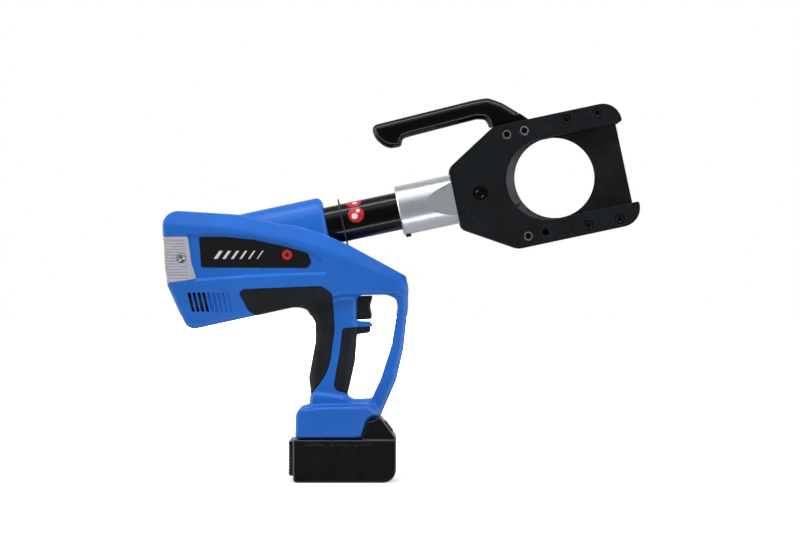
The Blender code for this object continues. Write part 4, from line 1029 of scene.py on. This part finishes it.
def rear_cap():
    pitch, bottom, top = 3.02, 212.6, 254.9
    low, high = extent("rear_cap", WORLD)

    def field(x, y, z):
        outside = housing_form(x, y, z)
        ribs = np.clip(0.5 + 0.8 * np.cos(FULL * (z - bottom) / pitch), 0.0, 1.0)
        zone = 1.0 - smooth(-167.2, -165.8, x - 0.11 * (high[2] - z))
        zone = zone * smooth(bottom - 0.6, bottom + 0.6, z) * (1.0 - smooth(top - 0.6, top + 0.6, z))
        face = outside + 0.2 + 1.05 * (1.0 - ribs) * zone
        cap = both(covered(outside, outline(REAR_CAP, x, z)), face, 0.2)
        off_axis = around(spot("rear_cap_screw_right", WORLD), x, z)
        seat = both(off_axis - 5.0, BODY_HALF - 1.6 - np.abs(y), 0.2)
        return without(without(cap, seat, 0.4), off_axis - CAP_HOLE)

    stands_for(moulded("ribbed_rear_cap", low - 1.5, high + 1.5, FINE, field), "rear_cap")
    inner, outer = BODY_HALF - 3.0, BODY_HALF - 0.1
    for side, sign in (("right", -1.0), ("left", 1.0)):
        node = "rear_cap_screw_" + side
        cx, cz = spot(node, WORLD)
        profile = [(inner, 0.0), (inner, 3.9), (outer - 0.5, 4.3), (outer, 3.8), (outer, 0.0)]
        head = turned("cap_screw_" + side, [(sign * a, r) for a, r in profile], "Y", (cx, cz), 64, WORLD)
        slot = [(cx + a, cz + b) for a, b in ((-5.0, -2.4), (-4.6, -3.1), (5.0, 2.4), (4.6, 3.1))]
        ends = sorted((sign * (outer - 1.2), sign * (outer + 2.0)))
        stands_for(cut(head, prism("slot", slot, *ends, matrix=WORLD)), node)


def labels():
    outer = BODY_HALF - LEAF_DEPTH + 0.15
    for side, sign in (("right", -1.0), ("left", 1.0)):
        faces = sorted((sign * outer, sign * (outer - 1.1)))
        film = plate("label_" + side, [rounded(LABEL)], *faces, 0.25, WORLD)
        stands_for(film, "label_plate_" + side)


def housing_screws():
    for name in BODY_SCREWS:
        low, high = extent(name, WORLD)
        place = spot(name, WORLD)
        end, top = low[1], high[1]
        profile = [(end, 0.0), (end, 1.5), (end + 1.0, 1.8), (top - 3.0, 1.8), (top - 3.0, 3.9)]
        profile += [(top - 1.2, 3.9), (top - 0.3, 3.0), (top, 1.6), (top, 0.0)]
        screw = turned("pan_" + name, profile, "Y", place, 48, WORLD)
        star = []
        for k in range(12):
            reach, a = 2.0 if k % 2 else 1.35, math.pi * k / 6.0
            star.append((place[0] + reach * math.cos(a), place[1] + reach * math.sin(a)))
        stands_for(cut(screw, prism("star", star, top - 1.6, top + 1.0, matrix=WORLD)), name)


def trigger():
    low, high = extent("trigger", WORLD)

    def field(x, y, z):
        form = solid(outline(TRIGGER, x, z, 0.5), np.abs(y) - 9.0, 2.2)
        return without(form, both(around(FINGER, x, z) - 9.8, np.abs(y) - 20.0), 1.0)

    stands_for(moulded("finger_trigger", low - 1.0, high + 1.0, FINE, field), "trigger")


# --- head, cylinder, stickers and springs


def screw_holes(names, radius=SCREW_HOLE):
    return [circle(spot(name), radius) for name in names]


def pin_holes(names, gap=SLACK):
    return [circle(spot(name), radius_of(name) + gap) for name in names]


def cheek_plates():
    rear, front = (corner[0] for corner in extent("cheek_plate_right"))
    edge = rounded(
        [(rear, -32.5, 9.0), (rear, 32.5, 9.0), (HEAD_REAR, HEAD_HALF, 18.0), (front, HEAD_HALF, 20.0)]
        + [(front, FORK_HALF, 2.6)]
        + [(FORK_END + u, w) for u, w in arc(FORK_HALF, 90.0, 270.0)]
        + [(front, -FORK_HALF, 2.6), (front, -HEAD_HALF, 20.0), (HEAD_REAR, -HEAD_HALF, 18.0)]
    )
    access = circle((middle("blade_pin")[0], 0.0), 8.0)
    spare = [circle(SPARE_HOLE, 3.5)]
    for name, extra, bore in (("cheek_plate_right", spare, 5.45), ("cheek_plate_left", [], SCREW_HOLE)):
        low, high = extent(name)
        loops = [edge, access, *extra, *screw_holes(SHALLOW + DEEP, bore), *pin_holes(DOWELS + PINS, 0.12)]
        stands_for(plate("steel_" + name, loops, low[1], high[1], 0.55), name)


def cap_screws():
    """Socket-head screws, their heads sunk in the right plate, and the ground pins."""
    radius = 5.0
    for name in SHALLOW + DEEP:
        low, high = extent(name)
        place, top, end = spot(name), low[1], high[1]
        rim = radius - (1.4 if name in SHALLOW else 0.9)
        profile = [(top, 0.0), (top, rim), (top + 0.3, radius - 0.3), (top + 0.9, radius)]
        profile += [(top + 5.8, radius), (top + 5.8, 3.0), (end - 0.8, 3.0), (end, 2.2), (end, 0.0)]
        screw = turned("socket_" + name, profile, "Y", place, 72)
        hexagon = circle(place, 2.9, 6)
        screw = stands_for(cut(screw, prism("hexagon", hexagon, top - 1.0, top + 3.2)), name)
        if name in SHALLOW:
            screw.data.materials.append(MATERIALS["worn_steel"])
            for face in screw.data.polygons:
                u, _, w = TOOL.inverted() @ face.center
                face.material_index = int(math.hypot(u - place[0], w - place[1]) > rim)
    for name in DOWELS + PINS:
        low, high = extent(name)
        near, far, sunk, outer = low[1] + 0.15, high[1] - 0.15, 0.6, radius_of(name)
        profile = [(near, 0.0), (near, outer - 0.7), (near + sunk, outer), (far - sunk, outer)]
        profile += [(far, outer - 0.7), (far, 0.0)]
        stands_for(turned("ground_" + name, profile, "Y", spot(name), 72), name)


def blade_bevel(name, sign, outer_face):
    """The cone that grinds a blade's edge: widest at its outer face."""
    land = 1.2
    rate = (BEVEL_RADIUS - OPENING) / (outer_face - land)
    near, far = land - 1.0, outer_face + 1.0
    profile = [(near, 0.0), (near, OPENING - rate), (far, BEVEL_RADIUS + rate), (far, 0.0)]
    return turned(name, [(sign * a, r) for a, r in profile], "Y", (0.0, 0.0), 192)


def blades():
    low, high = extent("fixed_blade")
    arm, front, top = low[0], high[0], high[2]
    edge = rounded(
        [(arm, OPENING), (arm, top), (front, top, 17.0), (front, -top, 17.0), (arm, -top), (arm, -OPENING)]
        + arc(OPENING, -90.0, 90.0)
    )
    fixed = plate("far_blade", [edge, *screw_holes(DEEP), *pin_holes(DOWELS)], low[1], high[1], 0.12)
    stands_for(crisp(cut(fixed, blade_bevel("far_bevel", 1.0, high[1])), BEVEL_CREASE), "fixed_blade")
    low, high = extent("moving_blade")
    tip, half, tail = high[0], high[2], 12.0
    ends = math.degrees(math.acos(tip / OPENING))
    edge = rounded(
        [(low[0], -tail, 3.0), (low[0], tail, 3.0), (-82.5, tail), (-60.0, half, 4.0), (tip, half, 0.5)]
        + arc(OPENING, ends, 360.0 - ends)
        + [(tip, -half, 0.5), (-60.0, -half, 4.0), (-82.5, -tail)]
    )
    hole = circle((middle("blade_pin")[0], 0.0), 4.3)
    moving = plate("near_blade", [edge, hole], low[1], high[1], 0.12)
    stands_for(crisp(cut(moving, blade_bevel("near_bevel", -1.0, -low[1])), BEVEL_CREASE), "moving_blade")


def spacers():
    for side in ("upper", "lower"):
        name = side + "_blade_rail"
        low, high = extent(name)
        inner, outer = (low[2], high[2]) if side == "upper" else (high[2], low[2])
        edge = rounded([(low[0], inner), (low[0], outer), (high[0], outer, 17.5), (high[0], inner)])
        holes = screw_holes(n for n in DEEP if side in n) + pin_holes(n for n in DOWELS if side in n)
        stands_for(plate("steel_" + name, [edge, *holes], low[1], high[1], 0.3), name)
    low, high = extent("lower_spacer")
    edge = [(low[0], high[2]), (high[0], high[2]), (high[0], low[2]), (-46.0, low[2]), (low[0], -61.0)]
    loops = [edge, *screw_holes(["spacer_screw"]), circle(SPARE_HOLE, 3.5)]
    stands_for(plate("steel_lower_spacer", loops, low[1], high[1], 0.3), "lower_spacer")


def carry_handle():
    low, high = extent("carry_handle")

    def field(u, y, w):
        bar = solid(outline(CARRY_BAR, u, w, 1.2), np.abs(y) - BAR_HALF, 9.0)
        bar = both(bar, 62.0 + 4.5 - w, 1.0)
        lug = solid(outline(LUG, u, w), np.abs(y) - 9.7, 0.6)
        form = union(bar, lug, 2.0)
        for name in SHALLOW[:2]:
            form = without(form, around(spot(name), u, w) - SCREW_HOLE)
        return form

    stands_for(moulded("gloss_carry_handle", low - 1.0, high + 1.0, FINE, field, TOOL), "carry_handle")


def collar():
    low, high = extent("head_collar")
    rear, front, radius = low[0], high[0], (high[2] - low[2]) / 2.0
    shoulder = extent("cheek_plate_right")[0][0] - GAP
    profile = [(front, 0.0), (front, radius), (rear + 1.3, radius), (rear, radius - 1.3), (rear, 0.0)]
    form = turned("satin_collar", profile, steps=256)
    past, behind = front + 5.0, rear - 5.0
    plan = [(behind, 30.0), (-141.0, 26.5), (shoulder, 19.0), (shoulder, 9.7), (past, 9.7)]
    plan += [(u, -y) for u, y in reversed(plan)]
    form = cut(form, prism("flats", plan, -40.0, 40.0, "Z"), operation="INTERSECT")
    seat = extent("hydraulic_cylinder")[1][0] + GAP
    slot = shoulder + 0.5
    bores = [
        turned("seat", [(behind, 0.0), (behind, 20.3), (seat, 20.3), (seat, 0.0)]),
        turned("rod_hole", [(seat - 1.0, 0.0), (seat - 1.0, 9.6), (-90.0, 9.6), (-90.0, 0.0)]),
        prism("fork", [(slot, -12.5), (past, -12.5), (past, 12.5), (slot, 12.5)], -20.0, 20.0),
    ]
    bores += [prism("pin_hole", hole, -30.0, 30.0) for hole in pin_holes(PINS)]
    stands_for(crisp(cut(form, *bores), 6.0), "head_collar")
    low, high = extent("collar_set_screw")
    end, top, place = low[2], high[2], (middle("collar_set_screw")[0], 0.0)
    profile = [(end, 0.0), (end, 2.5), (end + 0.5, 3.0), (top, 3.0), (top, 0.0)]
    nub = turned("socket_collar_set_screw", profile, "Z", place, 48)
    hexagon = prism("set_hexagon", circle(place, 1.6, 6), end - 1.0, end + 2.0, "Z")
    stands_for(cut(nub, hexagon), "collar_set_screw")


def cylinder_and_ring():
    low, high = extent("hydraulic_cylinder")
    rear, front, radius = low[0], high[0], CYLINDER_RADIUS
    bore, wall, rod, groove, line = 15.5, -166.0, 9.3, 18.6, radius - 0.35
    slot = middle("collar_set_screw")[0]
    profile = [(front, rod), (front, radius - 1.0), (front - 1.0, radius), (slot + 3.6, radius)]
    profile += [(slot + 3.6, groove), (slot - 3.6, groove), (slot - 3.6, radius), (-233.6, radius)]
    profile += [(-233.8, line), (-234.6, line), (-234.8, radius), (rear, radius)]
    profile += [(rear, bore), (wall, bore), (wall, rod)]
    stands_for(turned("gloss_cylinder", profile, steps=192, closed=True), "hydraulic_cylinder")
    low, high = extent("swivel_ring")
    outer, centre, half, inner = (high[2] - low[2]) / 2.0, (low[0] + high[0]) / 2.0, 0.7, 20.3
    profile = [(centre + half, inner), (centre + half, outer - 0.3), (centre + half - 0.3, outer)]
    profile += [(centre - half + 0.3, outer), (centre - half, outer - 0.3), (centre - half, inner)]
    stands_for(turned("snap_ring", profile, steps=160, closed=True), "swivel_ring")


def sticker(name, u, angle, radius, lift, material):
    """A round film wrapped on the cylinder's right side, angle degrees above the middle."""
    shape = bmesh.new()
    steps, rings, thick = 72, 8, 0.1
    films = []
    for height in (lift, lift - thick):
        far = CYLINDER_RADIUS + height
        layer = []
        for r in range(rings + 1):
            reach = radius * r / rings
            ring = []
            for k in range(steps if r else 1):
                a = FULL * k / steps
                turn = math.radians(angle) + reach * math.sin(a) / CYLINDER_RADIUS
                place = (u + reach * math.cos(a), -far * math.cos(turn), far * math.sin(turn))
                ring.append(shape.verts.new(place))
            layer.append(ring)
        films.append(layer)
    for layer in films:
        for first, last in zip(layer, layer[1:]):
            strip(shape, first, last, steps)
    strip(shape, films[0][-1], films[1][-1], steps)
    film = crisp(formed(name, shape, TOOL))
    film.data.materials.append(MATERIALS[material])
    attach(film, "housing")


def stickers():
    for name, u, angle, radius, lift, material in STICKERS:
        sticker("sticker_" + name, u, angle, radius, lift, "sticker_" + material)


def springs():
    """The coils: smooth-shaded copies of the nodes that each joint lists as deforming."""
    for name, joint in JOINTS.items():
        for deforming in joint.get("deforming_nodes", []):
            node, anchor = deforming["node"], Vector(deforming["fixed_end_m"])
            coil = placed("wound_" + node, frame["nodes"][node].data.copy())
            coil.data.shade_smooth()
            stands_for(coil, node)
            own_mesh(coil)


# --- battery


def battery_form(x, y, z):
    """The battery's whole outside, with its grooved sides, ribbed end and vent dashes."""
    side = np.abs(y)
    half = extent("battery_case", WORLD)[1][1]
    main = solid(outline(BATTERY, x, z, 0.5), side - half, 2.2)
    panel = smooth(3.5, 5.0, z) * (1.0 - smooth(37.0, 38.0, z)) * smooth(-48.0, -47.0, x)
    panel = panel * (1.0 - smooth(49.0, 50.0, x))
    main = main + 0.22 * panel * wave(x, 2.6) * smooth(half - 4.0, half - 3.0, side)
    step = solid(outline(BATTERY_END, x, z, 0.6), side - half + 4.0, 2.0)
    zone = (1.0 - smooth(-54.5, -53.0, x)) * smooth(9.0, 10.0, z) * (1.0 - smooth(41.0, 42.0, z))
    step = step + 0.7 * wave(z - 7.0, 3.4) * zone
    riser = solid(outline(RISER, x, z, 0.4), side - half + 4.0, 1.6)
    rail = solid(outline(RAIL, x, z), side - 25.0, 1.0)
    form = union(union(union(main, step, 0.6), riser, 1.0), rail)
    along = [group + 7.0 * k for group in (-29.1, -3.5, 21.6) for k in (-1.0, 0.0, 1.0)]
    dashes = nearest(*(both(np.abs(x - place) - 2.2, np.abs(z - 40.6) - 0.9, 0.5) for place in along))
    return without(form, both(dashes, half - 1.6 - side), 0.7)


def latch_axes(x, z):
    """Distances up the battery's sloping front, from its foot, and square out of it."""
    out = -axis_of("latch_press")
    dx, dz = x - SLOPE_FOOT[0], z - SLOPE_FOOT[1]
    return dz * out.x - dx * out.z, dx * out.x + dz * out.z


def battery():
    def shell(x, y, z):
        form = without(battery_form(x, y, z), block(x, y, z, *CELL_ROOM))
        along, out = latch_axes(x, z)
        pocket = both(both(5.6 - along, along - 20.4), both(-7.9 - out, np.abs(y) - 12.4))
        form = without(form, pocket, 0.4)
        for place in (-8.0, 8.0):
            form = without(form, block(x, y, z, (-50.0, place - 1.0, 49.0), (-26.0, place + 1.0, 62.0)))
        return form

    def latch(x, y, z):
        along, out = latch_axes(x, z)
        flat = both(np.abs(along - 13.0) - 7.0, np.abs(out + 1.2) - 2.8, 1.2)
        return solid(flat, np.abs(y) - 12.0, 0.9) + 0.35 * wave(along, 2.8) * smooth(0.0, 0.8, out)

    low, high = extent("battery_case", WORLD)[0] - 1.0, extent("battery_lid", WORLD)[1] + 1.0
    back, front = low[0] - 1.0, high[0] + 1.0
    for node, end in (("battery_case", low[2] - 1.0), ("battery_lid", high[2] + 1.0)):
        piece = moulded("black_" + node, low, high, FINE, shell)
        corners = [(back, BATTERY_SPLIT), (front, BATTERY_SPLIT), (front, end), (back, end)]
        keep = prism("keep", corners, low[1] - 1.0, high[1] + 1.0, matrix=WORLD)
        stands_for(crisp(cut(piece, keep, operation="INTERSECT"), 40.0), node, "battery_plastic")
    low, high = extent("battery_latch", WORLD)
    stands_for(moulded("ribbed_battery_latch", low - 1.0, high + 1.0, FINE, latch), "battery_latch")


# --- stage and camera


def softboxes(graph):
    """What shiny faces see all round, by the angle above the camera's side, and at the two ends."""
    axes = graph.node("SeparateXYZ")
    graph.link(graph.node("TexCoord").outputs["Generated"], axes.inputs[0])
    angle = graph.math("ARCTAN2", axes.outputs["Z"], graph.math("MULTIPLY", axes.outputs["Y"], -1.0))
    curve = graph.node("FloatCurve")
    points = curve.mapping.curves[0].points
    while len(points) < len(SOFTBOXES):
        points.new(0.5, 0.5)
    for point, (degrees, level) in zip(points, SOFTBOXES):
        point.location = (degrees / 360.0 + 0.5, level / SOFTBOX_PEAK)
        point.handle_type = "VECTOR"
    curve.mapping.update()
    graph.link(graph.math("ADD", graph.math("DIVIDE", angle, FULL), 0.5), curve.inputs["Value"])
    sideways = graph.math("SUBTRACT", graph.math("ABSOLUTE", axes.outputs["X"]), 0.72)
    ends = graph.math("MULTIPLY", graph.math("MAXIMUM", sideways, 0.0), 8.0)
    return graph.math("ADD", graph.math("MULTIPLY", curve.outputs["Value"], SOFTBOX_PEAK), ends)


def backdrop():
    """A white world for the camera, softboxes for shiny faces and a dim light for the rest."""
    world = bpy.data.worlds.new("studio")
    bpy.context.scene.world = world
    world.use_nodes = True
    graph = Graph(world.node_tree)
    background = graph.tree.nodes["Background"]
    path = graph.node("LightPath").outputs
    reflected = graph.mix(path["Is Glossy Ray"], 0.26, softboxes(graph), "FLOAT")
    strength = graph.mix(path["Is Camera Ray"], reflected, 1.0, "FLOAT")
    graph.link(strength, background.inputs["Strength"])
    graph.link(WHITE, background.inputs["Color"])


def ground(height):
    """A pale floor that takes the shadow, and glows white for the camera further out."""
    shape = bmesh.new()
    bmesh.ops.create_grid(shape, x_segments=8, y_segments=8, size=12.0)
    floor = formed("floor", shape, Matrix.Translation((0.0, 0.0, height)))
    pale = Finish("pale_floor", (0.9, 0.9, 0.9), 0.9)
    pale.tint(pale.ramp(pale.noise(400.0), 0.4, 0.6), (0.88, 0.88, 0.89))
    distance = pale.node("VectorMath", operation="LENGTH")
    pale.link(pale.place, distance.inputs[0])
    glow = pale.math("ADD", 0.5, pale.math("MULTIPLY", distance.outputs["Value"], 0.5))
    seen = pale.math("MULTIPLY", pale.node("LightPath").outputs["Is Camera Ray"], glow)
    pale.link(WHITE, pale.shader.inputs["Emission Color"])
    pale.link(seen, pale.shader.inputs["Emission Strength"])
    floor.data.materials.append(pale.done())
    floor.visible_glossy = False


def studio():
    scene = bpy.context.scene
    scene.view_settings.view_transform = "Standard"
    scene.view_settings.look = "None"
    low, high = CAD_BOX
    backdrop()
    ground(low[2])
    target = Vector(((low[0] + high[0]) / 2.0, 0.0, (low[2] + high[2]) / 2.0))
    for name, place, power, size in LAMPS:
        light = bpy.data.lights.new(name, "AREA")
        light.shape = "RECTANGLE"
        light.size, light.size_y = size
        light.energy = power
        lamp = placed(name, light)
        lamp.location = target + Vector(place)
        lamp.rotation_euler = (-Vector(place)).to_track_quat("-Z", "Y").to_euler()
        lamp.visible_glossy = False
    camera = bpy.data.cameras.new("camera")
    camera.lens = 111.0
    camera.sensor_width = 36.0
    camera.clip_end = 50.0
    eye = placed("camera", camera)
    eye.location = (0.0601, -2.62, 0.2126)
    eye.rotation_euler = (QUARTER, 0.0, 0.0)
    scene.camera = eye


def carried_over():
    """Every CAD node gets its procedural finish; those that are replaced stay hidden."""
    for node, obj in frame["nodes"].items():
        obj.data.materials.clear()
        obj.data.materials.append(MATERIALS[SLOT_OF[node]])


carried_over()
housing_half(-1.0)
housing_half(1.0)
grips()
rear_cap()
labels()
housing_screws()
trigger()
cheek_plates()
cap_screws()
blades()
spacers()
carry_handle()
collar()
cylinder_and_ring()
stickers()
springs()
battery()
studio()
